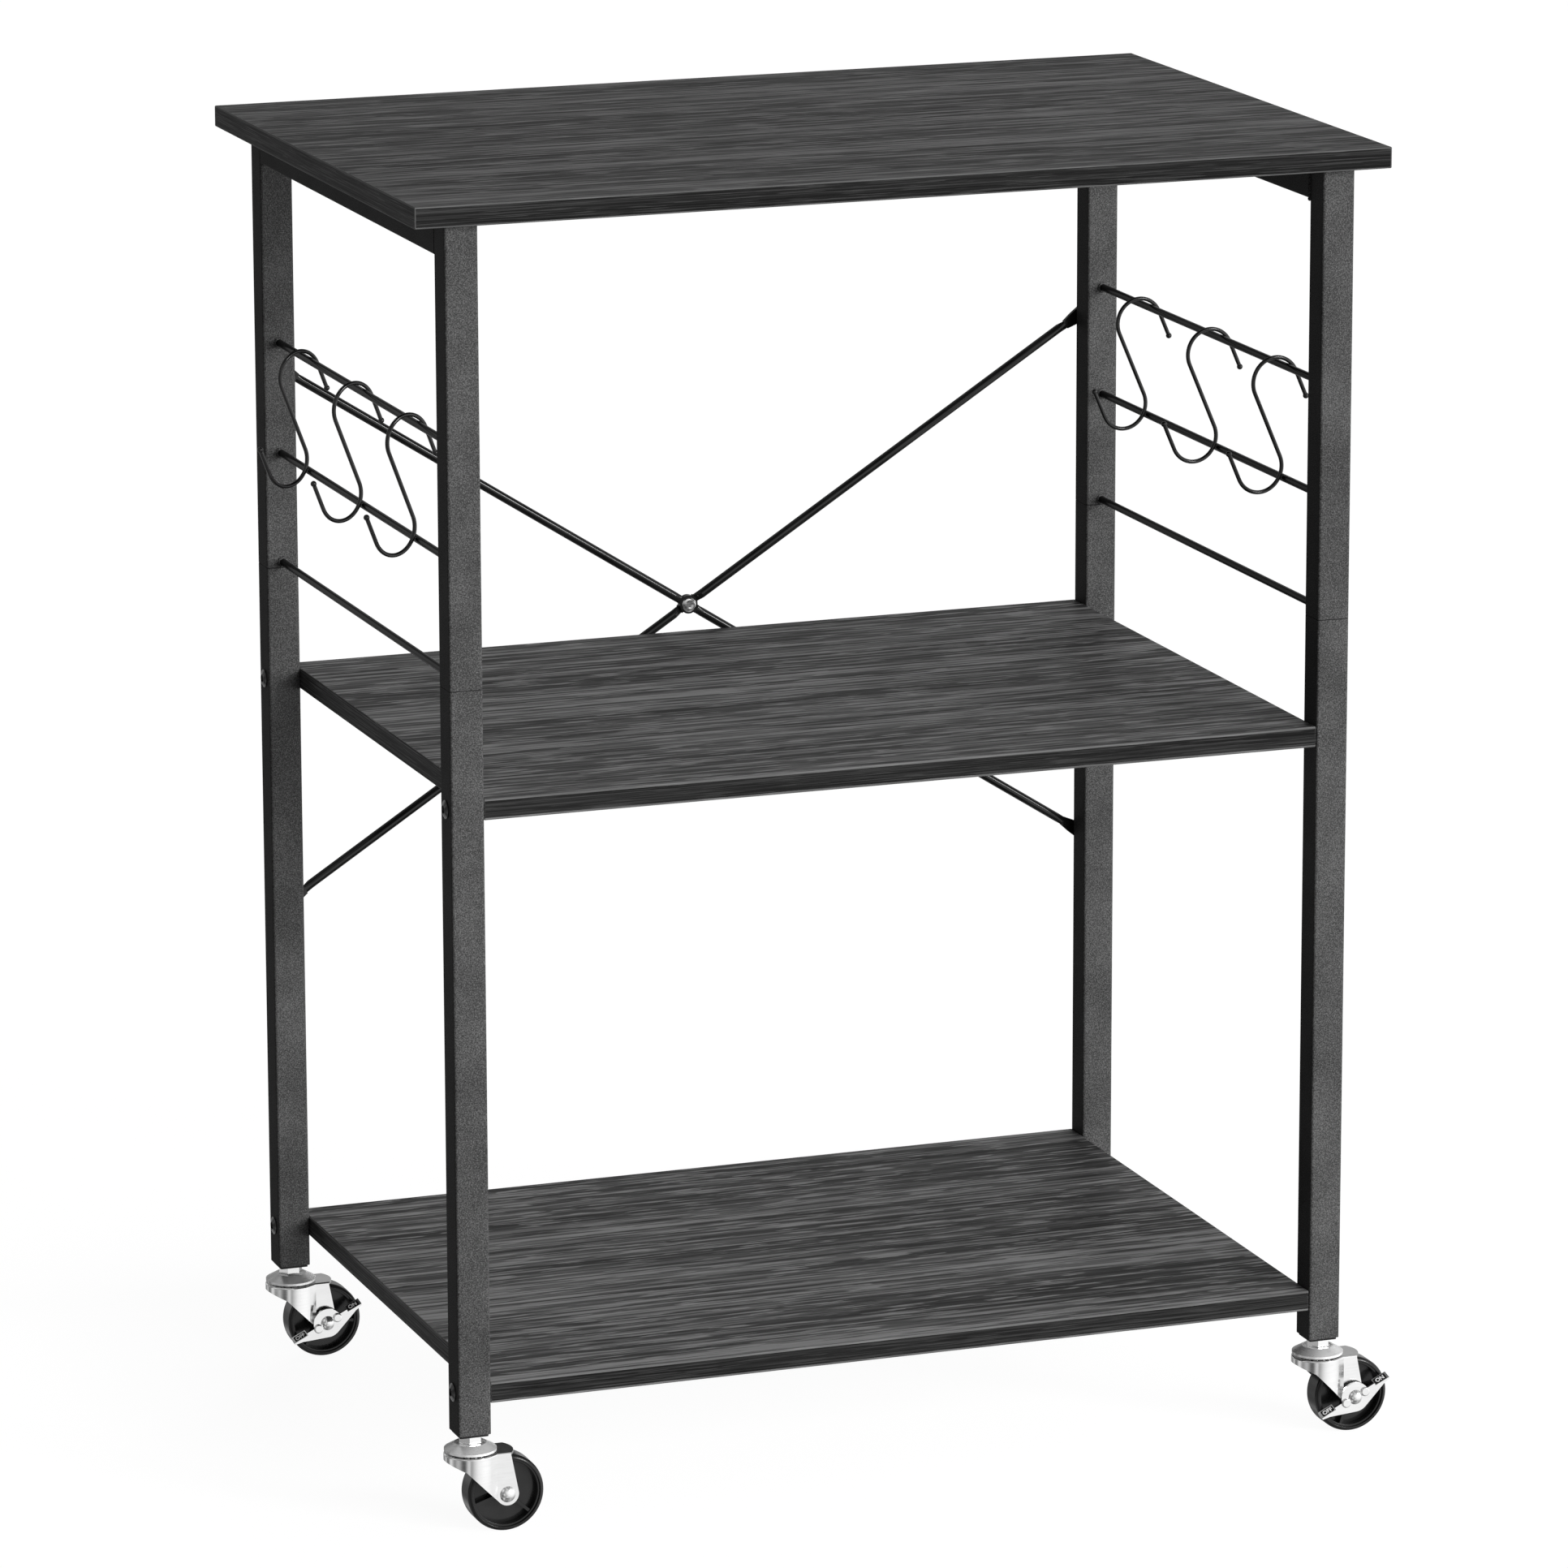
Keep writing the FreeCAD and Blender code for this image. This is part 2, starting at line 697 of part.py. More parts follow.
bolt_length = dim.brace_flat * 2 + dim.brace_nut_height + dim.brace_bolt_tail
brace_bolt = new_body("FlangedBolt")
bolt_sketch = sketch_on(brace_bolt, "XZ_Plane")
bevel = dim.brace_bolt_flange_thick / 2
bolt_outline = [
    (zero, -bolt_length),
    (dim.brace_screw_diameter / 2, -bolt_length),
    (dim.brace_screw_diameter / 2, zero),
    (dim.brace_bolt_flange / 2, zero),
    (dim.brace_bolt_flange / 2, bevel),
    (dim.brace_bolt_flange / 2 - bevel, dim.brace_bolt_flange_thick),
    (dim.brace_bolt_head / 2, dim.brace_bolt_flange_thick),
    (dim.brace_bolt_head / 2, dim.brace_bolt_head_height - bevel),
    (dim.brace_bolt_head / 2 - bevel, dim.brace_bolt_head_height),
    (zero, dim.brace_bolt_head_height),
]
draw_outline(bolt_sketch, bolt_outline)
revolve(brace_bolt, bolt_sketch, "V_Axis")
socket_sketch = sketch_on(brace_bolt, "XY_Plane", dim.brace_bolt_head_height)
draw_hexagon(socket_sketch, dim.brace_bolt_head * cap_socket_share)
pocket(brace_bolt, socket_sketch, dim.brace_bolt_head_height * socket_depth_share)
cross_front = frame_half_depth + brace_radius - dim.brace_flat
place(brace_bolt, zero, cross_front, brace_height, roll=90)
keep("brace_bolt", brace_bolt)

brace_nut = new_body("Nut")
nut_sketch = sketch_on(brace_nut, "XY_Plane")
draw_hexagon(nut_sketch, dim.brace_nut_flats)
draw_circle(nut_sketch, dim.brace_screw_diameter + dim.thread_clearance * 2)
pad(brace_nut, nut_sketch, dim.brace_nut_height)
place(brace_nut, zero, cross_front + dim.brace_flat * 2, brace_height, roll=-90)
keep("brace_nut", brace_nut)

end_screws = []
for sx in (-1, 1):
    for sz in (-1, 1):
        length = dim.brace_flat + dim.brace_screw_bite
        screw = bolt(dim.brace_screw_diameter, length, dim.brace_screw_head, dim.brace_screw_head_height)
        height = brace_height + dim.brace_rise * sz
        place(screw, post_x * sx, frame_half_depth + dim.brace_flat, height, roll=-90)
        end_screws.append(screw)
group("brace_end_screws", end_screws)

# casters: every piece is drawn about its swivel axis, with the floor at zero and the wheel trailing to +X;
# the legs leave the cup just past the place where their planes cut it
fork_half = dim.fork_gap / 2 + dim.fork_sheet
cup_radius = dim.fork_cup_diameter / 2
leg_end = dim.wheel_trail + dim.leg_end_radius
leg_neck = root(cup_radius * cup_radius - fork_half * fork_half) + dim.leg_flare
leg_top = dim.fork_reach - dim.fork_nose
fork_underside = fork_top - dim.fork_sheet
hub_half = dim.fork_gap / 2 - dim.hub_side_gap
braked = ("front_right", "rear_left")


def caster_plug():
    body = new_body("Plug")
    rim_sketch = sketch_on(body, "XY_Plane", collar_top)
    draw_rounded_square(rim_sketch, dim.post_side - dim.plug_rim_inset * 2, dim.post_round)
    pad(body, rim_sketch, dim.plug_rim_thick)
    core_sketch = sketch_on(body, "XY_Plane", collar_top)
    draw_rounded_square(core_sketch, post_bore - dim.plug_clearance * 2, dim.post_round / 2)
    pad(body, core_sketch, dim.plug_rim_thick + dim.plug_depth)
    bore_sketch = sketch_on(body, "XY_Plane", collar_top - dim.overrun)
    draw_circle(bore_sketch, dim.stem_diameter + dim.stem_clearance * 2)
    pocket(body, bore_sketch, dim.plug_rim_thick + dim.plug_depth + dim.overrun * 2, back=True)
    return body


def caster_stem():
    body = new_body("Stem")
    sketch = sketch_on(body, "XZ_Plane")
    head_top = fork_underside - dim.pin_head_gap
    head_bottom = head_top - dim.pin_head_height
    stem_top = post_foot + dim.stem_reach
    pin_radius = dim.pin_diameter / 2
    head_radius = dim.pin_head_diameter / 2
    stem_radius = dim.stem_diameter / 2
    outline = [
        (zero, head_bottom),
        (head_radius, head_bottom),
        (head_radius, head_top),
        (pin_radius, head_top),
        (pin_radius, raceway_top),
        (stem_radius, raceway_top),
        (stem_radius, stem_top),
        (zero, stem_top),
    ]
    draw_outline(sketch, outline)
    revolve(body, sketch, "V_Axis")
    collar_sketch = sketch_on(body, "XY_Plane", raceway_top)
    draw_hexagon(collar_sketch, dim.collar_flats)
    pad(body, collar_sketch, dim.collar_height)
    return body


def caster_raceway():
    body = new_body("Raceway")
    sketch = sketch_on(body, "XZ_Plane")
    bore_radius = dim.pin_diameter / 2 + dim.stem_clearance
    top_radius = dim.raceway_top_diameter / 2
    rim_radius = dim.raceway_diameter / 2
    rim_top = lip_bottom + dim.raceway_lip
    inner_radius = rim_radius - dim.raceway_thick
    outline = [
        (bore_radius, raceway_top - dim.raceway_thick),
        (top_radius, raceway_top - dim.raceway_thick),
        (inner_radius, lip_bottom),
        (rim_radius, lip_bottom),
        (rim_radius, rim_top),
        (top_radius, raceway_top + dim.raceway_bead),
        (top_radius - dim.raceway_bead_width, raceway_top + dim.raceway_bead),
        (top_radius - dim.raceway_bead_width, raceway_top),
        (bore_radius, raceway_top),
    ]
    draw_outline(sketch, outline)
    revolve(body, sketch, "V_Axis")
    return body


def caster_ball_ring():
    ring = doc.addObject("Part::Torus", "BallRing")
    room = raceway_top - dim.raceway_thick - fork_top
    bind(ring, Radius1=dim.ball_ring_diameter / 2, Radius2=room / 2 - dim.ball_clearance)
    return ring, fork_top + room / 2


def fork_shell():
    # a drawn cup that narrows into two flat legs, open below
    body = new_body("ForkShell")
    height = fork_top - axle_height + dim.leg_end_radius + dim.overrun
    touch_x, touch_y = touching_point(leg_neck, fork_half, zero, zero, cup_radius, 1)
    cup_sketch = sketch_on(body, "XY_Plane", fork_top)
    draw_circle(cup_sketch, dim.fork_cup_diameter)
    pad(body, cup_sketch, height, back=True)
    leg_sketch = sketch_on(body, "XY_Plane", fork_top)
    near = [(touch_x, -touch_y), (leg_neck, -fork_half), (leg_end, -fork_half)]
    far = [(leg_end, fork_half), (leg_neck, fork_half), (touch_x, touch_y)]
    draw_outline(leg_sketch, near + far)
    pad(body, leg_sketch, height, back=True)

    def on_top_rim(edge):
        box = edge.BoundBox
        near = dim.fork_sheet.value / 2
        return box.ZMin > fork_top.value - near and box.XMin < leg_end.value - near

    soften(body, dim.fork_bend, on_top_rim)
    inner_radius = cup_radius - dim.fork_sheet
    inner_half = dim.fork_gap / 2
    touch_x, touch_y = touching_point(leg_neck, inner_half, zero, zero, inner_radius, 1)
    room_sketch = sketch_on(body, "XY_Plane", fork_underside)
    draw_circle(room_sketch, inner_radius * 2)
    pocket(body, room_sketch, height)
    slot_sketch = sketch_on(body, "XY_Plane", fork_underside)
    slot_end = leg_end + dim.overrun
    near = [(touch_x, -touch_y), (leg_neck, -inner_half), (slot_end, -inner_half)]
    far = [(slot_end, inner_half), (leg_neck, inner_half), (touch_x, touch_y)]
    draw_outline(slot_sketch, near + far)
    pocket(body, slot_sketch, height)
    return body


def fork_side_view():
    # the fork's outline from the side: a low skirt round the cup, slanted legs and a round end about the axle
    body = new_body("ForkSide")
    width = dim.fork_cup_diameter + dim.overrun * 2
    back = cup_radius + dim.overrun
    back_low = fork_top - dim.leg_back_drop
    left = touching_point(-dim.leg_back_reach, back_low, dim.wheel_trail, axle_height, dim.leg_end_radius, 1)
    right = touching_point(leg_top, fork_underside, dim.wheel_trail, axle_height, dim.leg_end_radius, -1)
    sketch = sketch_on(body, "XZ_Plane")
    outline = [
        (-back, fork_top + dim.overrun),
        (-back, fork_top - dim.fork_skirt),
        (-dim.leg_back_reach, back_low),
        left,
        right,
        (leg_top, fork_underside),
        (leg_top, fork_top + dim.overrun),
    ]
    draw_outline(sketch, outline)
    pad(body, sketch, width, both=True)
    end_sketch = sketch_on(body, "XZ_Plane")
    draw_circle(end_sketch, dim.leg_end_radius * 2, dim.wheel_trail, axle_height)
    pad(body, end_sketch, width, both=True)
    nose_radius = dome_radius(fork_half, dim.fork_nose)
    nose_sketch = sketch_on(body, "XY_Plane", fork_underside)
    draw_circle(nose_sketch, nose_radius * 2, dim.fork_reach - nose_radius)
    pad(body, nose_sketch, dim.fork_sheet + dim.overrun)
    return body


def caster_fork():
    stamped = doc.addObject("Part::Common", "Stamped")
    stamped.Base = fork_shell()
    stamped.Tool = fork_side_view()
    axle_bore = doc.addObject("Part::Cylinder", "AxleBore")
    bind(axle_bore, Radius=dim.axle_diameter / 2 + dim.axle_clearance, Height=fork_half * 2 + dim.overrun * 2)
    place(axle_bore, dim.wheel_trail, -fork_half - dim.overrun, axle_height, roll=-90)
    pin_bore = doc.addObject("Part::Cylinder", "PinBore")
    bind(pin_bore, Radius=dim.pin_diameter / 2 + dim.pin_clearance, Height=dim.fork_sheet + dim.overrun * 2)
    place(pin_bore, z=fork_underside - dim.overrun)
    bores = doc.addObject("Part::Fuse", "Bores")
    bores.Base = axle_bore
    bores.Tool = pin_bore
    fork = doc.addObject("Part::Cut", "Fork")
    fork.Base = stamped
    fork.Tool = bores
    return fork


def caster_wheel():
    # drawn about its own axle, which is the local Y axis
    body = new_body("Wheel")
    radius = dim.wheel_diameter / 2
    half = dim.wheel_width / 2
    face_radius = radius - dim.wheel_rim
    ledge_radius = face_radius - dim.wheel_ledge
    ledge_half = half - dim.wheel_ledge_depth
    web_half = dim.wheel_web / 2
    hub_radius = dim.hub_diameter / 2
    bore_radius = dim.axle_diameter / 2 + dim.axle_clearance
    lower = [
        (bore_radius, -hub_half),
        (hub_radius, -hub_half),
        (hub_radius, -web_half),
        (ledge_radius, -web_half),
        (ledge_radius, -ledge_half),
        (face_radius, -ledge_half),
        (face_radius, -half),
        (radius, -half),
    ]
    upper = [(r, -y) for r, y in reversed(lower)]
    sketch = sketch_on(body, "XY_Plane")
    draw_outline(sketch, lower + upper)
    revolve(body, sketch, "V_Axis")

    def on_tread(edge):
        box = edge.BoundBox
        return box.YLength < half.value and box.XLength > (radius + face_radius).value

    def on_ledge(edge):
        box = edge.BoundBox
        outer = max(box.YMax, -box.YMin)
        if box.YLength > web_half.value or box.XLength > (radius + face_radius).value:
            return False
        if box.XLength > (face_radius + ledge_radius).value:
            return outer > (half + ledge_half).value / 2
        return box.XLength > (ledge_radius + hub_radius).value and outer > (ledge_half + web_half).value / 2

    soften(body, dim.wheel_shoulder, on_tread)
    soften(body, dim.wheel_edge_round, on_ledge)
    rib_sketch = sketch_on(body, "XZ_Plane")
    inside = hub_radius - dim.rib_thick / 2
    outside = ledge_radius + dim.wheel_ledge / 2
    draw_rectangle(rib_sketch, inside, -dim.rib_thick / 2, outside, dim.rib_thick / 2)
    rib = pad(body, rib_sketch, dim.wheel_width - dim.rib_setback * 2, both=True)
    doc.recompute()
    ribs = body.newObject("PartDesign::PolarPattern", "Ribs")
    ribs.Originals = [rib]
    ribs.Axis = ([item for item in body.Origin.OriginFeatures if item.Role == "Y_Axis"][0], [""])
    ribs.Angle = 360
    ribs.Occurrences = 3
    body.Tip = ribs
    return body


def caster_axle(near_half, near_head, far_half):
    # drawn about the local Y axis; a domed head at each end
    body = new_body("Axle")
    radius = dim.axle_diameter / 2
    near_radius = near_head / 2
    far_radius = dim.axle_head_diameter / 2
    near_dome = dome_radius(near_radius, dim.axle_head_height)
    far_dome = dome_radius(far_radius, dim.axle_head_height)
    sketch = sketch_on(body, "XY_Plane")
    outline = [
        (zero, -near_half - dim.axle_head_height),
        (near_radius, -near_half),
        (radius, -near_half),
        (radius, far_half),
        (far_radius, far_half),
        (zero, far_half + dim.axle_head_height),
    ]
    draw_outline(sketch, outline, {0: near_dome, 4: far_dome})
    revolve(body, sketch, "V_Axis")
    return body


def brake_lever():
    # a rocking plate about the local Y axis, on a hub of its own, with a foot tab at each end that is folded
    # back and slopes up toward the wheel
    body = new_body("Lever")
    back = fork_half + dim.lever_standoff
    front = back + dim.lever_thick
    reach = dim.lever_reach
    end_half = dim.lever_end_width / 2
    tab_start = reach - dim.tab_length
    tab_run = dim.tab_depth * cosine(dim.tab_slope)
    tab_drop = dim.tab_depth * sine(dim.tab_slope)
    tab_rise = dim.lever_thick / cosine(dim.tab_slope)
    bend = end_half - tab_drop
    tab_low = bend - tab_rise + tab_rise * sine(dim.tab_slope)
    toe = reach - dim.tab_length / 2
    touch_x, touch_y = touching_point(toe, end_half, zero, zero, dim.lever_disc / 2, 1)
    disc_sketch = sketch_on(body, "XZ_Plane", back)
    draw_circle(disc_sketch, dim.lever_disc)
    pad(body, disc_sketch, dim.lever_thick)
    arm_sketch = sketch_on(body, "XZ_Plane", back)
    right = [
        (touch_x, -touch_y),
        (toe, -end_half),
        (reach, (bend - end_half) / 2),
        (reach, bend),
        (tab_start, bend),
        (tab_start, dim.lever_neck),
    ]
    draw_outline(arm_sketch, right + [(-x, z) for x, z in reversed(right)])
    pad(body, arm_sketch, dim.lever_thick)
    hub_sketch = sketch_on(body, "XZ_Plane", fork_half + dim.lever_play)
    draw_circle(hub_sketch, dim.lever_hub)
    pad(body, hub_sketch, dim.lever_standoff - dim.lever_play + dim.lever_thick / 2)
    for side in (-1, 1):
        tab_sketch = sketch_on(body, "YZ_Plane", tab_start * side)
        tab_outline = [
            (-front, bend),
            (-back, tab_low),
            (tab_run - front, end_half - tab_rise),
            (tab_run - front, end_half),
        ]
        draw_outline(tab_sketch, tab_outline)
        pad(body, tab_sketch, dim.tab_length, back=side < 0)
    lobe_sketch = sketch_on(body, "XZ_Plane", back)
    for side in (-1, 1):
        draw_circle(lobe_sketch, dim.lobe_diameter, dim.lobe_place * side)
    pad(body, lobe_sketch, dim.lever_thick + dim.lobe_height)
    lobe_front = -(front + dim.lobe_height).value

    def on_lobe(edge):
        box = edge.BoundBox
        return len(edge.Vertexes) == 1 and box.YMax < lobe_front + dim.lobe_height.value / 2

    soften(body, dim.lobe_height * 2 / 3, on_lobe)
    seat_sketch = sketch_on(body, "XZ_Plane", front)
    draw_circle(seat_sketch, dim.lever_axle_head + dim.lever_play * 2)
    pocket(body, seat_sketch, dim.lobe_height + dim.overrun, back=True)
    bore_sketch = sketch_on(body, "XZ_Plane", fork_half - dim.overrun)
    draw_circle(bore_sketch, dim.axle_diameter + dim.axle_clearance * 2)
    pocket(body, bore_sketch, dim.lever_standoff + dim.lever_thick + dim.overrun * 2, back=True)
    return body


# each wheel has stopped at an angle of its own
rib_angles = {"front_right": dim.front_right_rib_angle, "rear_left": dim.rear_left_rib_angle}
plugs = []
for corner, (sx, sy) in corners.items():
    x = post_x * sx
    y = post_y * sy
    axle_x = x + dim.wheel_trail
    plug = caster_plug()
    place(plug, x, y)
    plugs.append(plug)
    ring, ring_height = caster_ball_ring()
    place(ring, x, y, ring_height)
    keep(corner + "_ball_race", ring)
    stem = caster_stem()
    stem_turn = zero
    if sy < 0:
        stem_turn = dim.collar_turn
    place(stem, x, y, yaw=stem_turn)
    keep(corner + "_stem", stem)
    raceway = caster_raceway()
    place(raceway, x, y)
    keep(corner + "_raceway", raceway)
    fork = caster_fork()
    place(fork, x, y)
    keep(corner + "_fork", fork)
    wheel = caster_wheel()
    place(wheel, axle_x, y, axle_height, pitch=-rib_angles.get(corner, dim.rib_angle))
    keep(corner + "_wheel", wheel)
    near_half = fork_half
    near_head = dim.axle_head_diameter
    if corner in braked:
        near_half = fork_half + dim.lever_standoff + dim.lever_thick + dim.lever_play
        near_head = dim.lever_axle_head
        lever = brake_lever()
        place(lever, axle_x, y, axle_height, pitch=-dim.lever_angle)
        keep(corner + "_brake_lever", lever)
    axle = caster_axle(near_half, near_head, fork_half)
    place(axle, axle_x, y, axle_height)
    keep(corner + "_axle", axle)
group("caster_plugs", plugs)


# S-hooks: drawn about the middle of the upper loop, hung on the top rod and leaning on the rod below it
def hook():
    body = new_body("Hook")
    path = sketch_on(body, "XZ_Plane")
    radius = dim.hook_loop_radius
    leg_low = flat(radius, -dim.hook_leg)
    up = FreeCAD.Vector(0, 0, 1)
    upper_circle = Part.Circle(flat(zero, zero), up, radius.value)
    lower_circle = Part.Circle(flat(radius * -2, -dim.hook_shank), up, radius.value)
    first = path.addGeometry(Part.LineSegment(leg_low, flat(radius, zero)))
    upper = path.addGeometry(Part.ArcOfCircle(upper_circle, 0, math.pi))
    shank = path.addGeometry(Part.LineSegment(flat(-radius, zero), flat(-radius, -dim.hook_shank)))
    lower = path.addGeometry(Part.ArcOfCircle(lower_circle, math.pi, math.pi * 2))
    low_end = flat(radius * -3, -dim.hook_shank)
    last = path.addGeometry(Part.LineSegment(low_end, flat(radius * -3, dim.hook_leg - dim.hook_shank)))
    pin(path, first, 1, radius, -dim.hook_leg)
    for line, length in ((first, dim.hook_leg), (shank, dim.hook_shank), (last, dim.hook_leg)):
        path.addConstraint(Sketcher.Constraint("Vertical", line))
        hold(path, Sketcher.Constraint("Distance", line, length.value), length)
    bends = ((first, 2, upper, 1), (upper, 2, shank, 1), (shank, 2, lower, 2), (lower, 1, last, 1))
    for before, end, after, start in bends:
        path.addConstraint(Sketcher.Constraint("Tangent", before, end, after, start))
    for arc in (upper, lower):
        hold(path, Sketcher.Constraint("Radius", arc, radius.value), radius)
    section = sketch_on(body, "XY_Plane", -dim.hook_leg)
    draw_circle(section, dim.hook_wire, radius)
    pipe = body.newObject("PartDesign::AdditivePipe", "Wire")
    pipe.Profile = section
    pipe.Spine = path
    for tip_x, tip_z in ((radius, -dim.hook_leg), (radius * -3, dim.hook_leg - dim.hook_shank)):
        ball = body.newObject("PartDesign::AdditiveSphere", "Tip")
        bind(ball, Radius=dim.hook_tip / 2)
        place(ball, tip_x, zero, tip_z)
    return body


def hook_pose(turn):
    # the upper loop bears on the top rod at the seat angle, and the lower loop leans on the rod below
    rod_radius = dim.rod_diameter / 2 / cosine(turn)
    radius = dim.hook_loop_radius
    seat = radius - dim.hook_wire / 2 - rod_radius - dim.hook_gap
    lean = radius + dim.hook_wire / 2 + rod_radius + dim.hook_gap
    loop_x = -seat * sine(dim.hook_seat_angle)
    loop_z = -seat * cosine(dim.hook_seat_angle)
    apart = root(radius * radius * 4 + dim.hook_shank * dim.hook_shank)
    fall = dim.rod_pitch + loop_z
    to_rod = root(loop_x * loop_x + fall * fall)
    opening = arc_cosine((apart * apart + to_rod * to_rod - lean * lean) / (apart * to_rod * 2))
    tilt = opening - arc_tangent(-loop_x / fall)
    shank_tilt = arc_tangent(radius * 2 / dim.hook_shank) - tilt
    return loop_x, loop_z, shank_tilt


for side_name, sx, turn, shares in (
        ("left", -1, dim.hook_left_angle, left_hook_shares),
        ("right", 1, dim.hook_right_angle, right_hook_shares)):
    loop_x, loop_z, shank_tilt = hook_pose(turn)
    for hook_name, share in zip(hook_names, shares):
        thing = hook()
        x = post_x * sx + loop_x * cosine(turn)
        y = span_half * share + loop_x * sine(turn)
        place(thing, x, y, rod_heights[0] + loop_z, yaw=turn, pitch=-shank_tilt)
        keep("%s_%s_hook" % (side_name, hook_name), thing)

doc.recompute()

failed = [item.Name for item in doc.Objects if "Invalid" in item.State or "Error" in item.State]
failed += [name for name, item in nodes.items() if item.Shape.isNull() or not item.Shape.isValid()]
failed += [name for name, item in nodes.items() if not item.Shape.Solids]
if failed:
    raise ValueError("these pieces failed: " + ", ".join(failed))

os.makedirs("parts", exist_ok=True)
for name, item in nodes.items():
    item.Shape.exportStep("parts/%s.step" % name)
print(len(nodes), "pieces written,", sum(len(item.Shape.Solids) for item in nodes.values()), "solids")
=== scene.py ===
import math

import bmesh
import bpy
from mathutils import Matrix, Vector


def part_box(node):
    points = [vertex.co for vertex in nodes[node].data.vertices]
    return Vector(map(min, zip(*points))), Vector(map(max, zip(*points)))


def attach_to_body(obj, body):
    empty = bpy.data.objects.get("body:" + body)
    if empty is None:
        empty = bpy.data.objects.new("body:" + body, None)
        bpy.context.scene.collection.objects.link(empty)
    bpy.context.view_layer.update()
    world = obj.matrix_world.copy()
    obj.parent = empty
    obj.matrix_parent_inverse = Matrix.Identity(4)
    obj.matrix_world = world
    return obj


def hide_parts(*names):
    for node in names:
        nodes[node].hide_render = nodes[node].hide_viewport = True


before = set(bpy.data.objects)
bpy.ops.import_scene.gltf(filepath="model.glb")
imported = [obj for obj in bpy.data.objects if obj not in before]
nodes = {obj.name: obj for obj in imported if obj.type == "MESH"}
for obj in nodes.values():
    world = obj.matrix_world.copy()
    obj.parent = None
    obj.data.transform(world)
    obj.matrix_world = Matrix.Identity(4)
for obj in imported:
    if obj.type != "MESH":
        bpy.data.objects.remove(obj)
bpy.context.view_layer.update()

# Serving cart: charcoal boards in a black tube frame, wire hooks, a cross brace and plated casters.
# Metres, in the CAD model's own frame: x to the right, y to the rear, z up from the floor.

mm = 0.001
noiseMiddle = 0.5  # a noise texture swings about this
corners = ("front_left", "front_right", "rear_left", "rear_right")
braked = ("front_right", "rear_left")
print("frame loaded:", len(nodes), "nodes")


# node trees

class Sock:  # a socket; plain maths on it adds Math nodes
    def __init__(self, tree, socket):
        self.tree = tree
        self.socket = socket

    def math(self, operation, *values):
        return self.tree.add("ShaderNodeMath", {"operation": operation}, values)

    def __add__(self, other):
        return self.math("ADD", self, other)

    def __sub__(self, other):
        return self.math("SUBTRACT", self, other)

    def __rsub__(self, other):
        return self.math("SUBTRACT", other, self)

    def __mul__(self, other):
        return self.math("MULTIPLY", self, other)

    def __abs__(self):
        return self.math("ABSOLUTE", self)

    __radd__ = __add__
    __rmul__ = __mul__

    def above(self, edge, soft):  # 0 below the edge, 1 above it
        span = {"Value": self, "From Min": edge - soft / 2, "From Max": edge + soft / 2}
        return self.tree.add("ShaderNodeMapRange", {"interpolation_type": "SMOOTHSTEP"}, span)

    def below(self, edge, soft):
        return 1 - self.above(edge, soft)

    def atLeast(self, floor):
        return self.math("MAXIMUM", self, floor)


class Tree:  # a node tree under construction
    def __init__(self, nodeTree):
        self.nodeTree = nodeTree

    def add(self, kind, settings=None, inputs=(), out=0):
        node = self.nodeTree.nodes.new(kind)
        for name, value in (settings or {}).items():
            if name == "stops":
                self.setStops(node.color_ramp.elements, value)
            else:
                setattr(node, name, value)
        pairs = inputs.items() if isinstance(inputs, dict) else enumerate(inputs)
        for name, value in pairs:
            self.feed(node.inputs[name], value)
        return Sock(self, node.outputs[out])

    def feed(self, socket, value):
        if isinstance(value, Sock):
            self.nodeTree.links.new(value.socket, socket)
        else:
            socket.default_value = value

    def setStops(self, elements, stops):
        while len(elements) < len(stops):
            elements.new(1)
        for element, (position, tone) in zip(elements, stops):
            element.position = position
            element.color = grey(tone)

    def ramp(self, value, stops):
        return self.add("ShaderNodeValToRGB", {"stops": stops}, [value])


def grey(tone):
    return (tone, tone, tone, 1)


class Paint(Tree):  # a material: one Principled shader and the textures that feed it
    def __init__(self, name, **fixed):
        self.material = bpy.data.materials.new(name)
        self.material.use_nodes = True
        super().__init__(self.material.node_tree)
        self.shader = self.nodeTree.nodes["Principled BSDF"]
        self.place = self.add("ShaderNodeTexCoord", out="Object")
        self.put(fixed)

    def put(self, sockets):
        for name, value in sockets.items():
            self.feed(self.shader.inputs[name], value)

    def axes(self):
        return [self.add("ShaderNodeSeparateXYZ", {}, [self.place], out) for out in range(3)]

    def noise(self, turns, detail=2, at=None, shift=(0, 0, 0)):
        where = {"Vector": at or self.place, "Location": shift, "Scale": turns}
        mapped = self.add("ShaderNodeMapping", {}, where)
        return self.add("ShaderNodeTexNoise", {}, {"Vector": mapped, "Scale": 1, "Detail": detail})

    def mix(self, factor, first, second):
        sockets = {0: factor, 6: first, 7: second}
        return self.add("ShaderNodeMix", {"data_type": "RGBA"}, sockets, 2)

    def relief(self, height, depth):
        sockets = {"Height": height, "Distance": depth, "Strength": 1}
        self.put({"Normal": self.add("ShaderNodeBump", {}, sockets)})


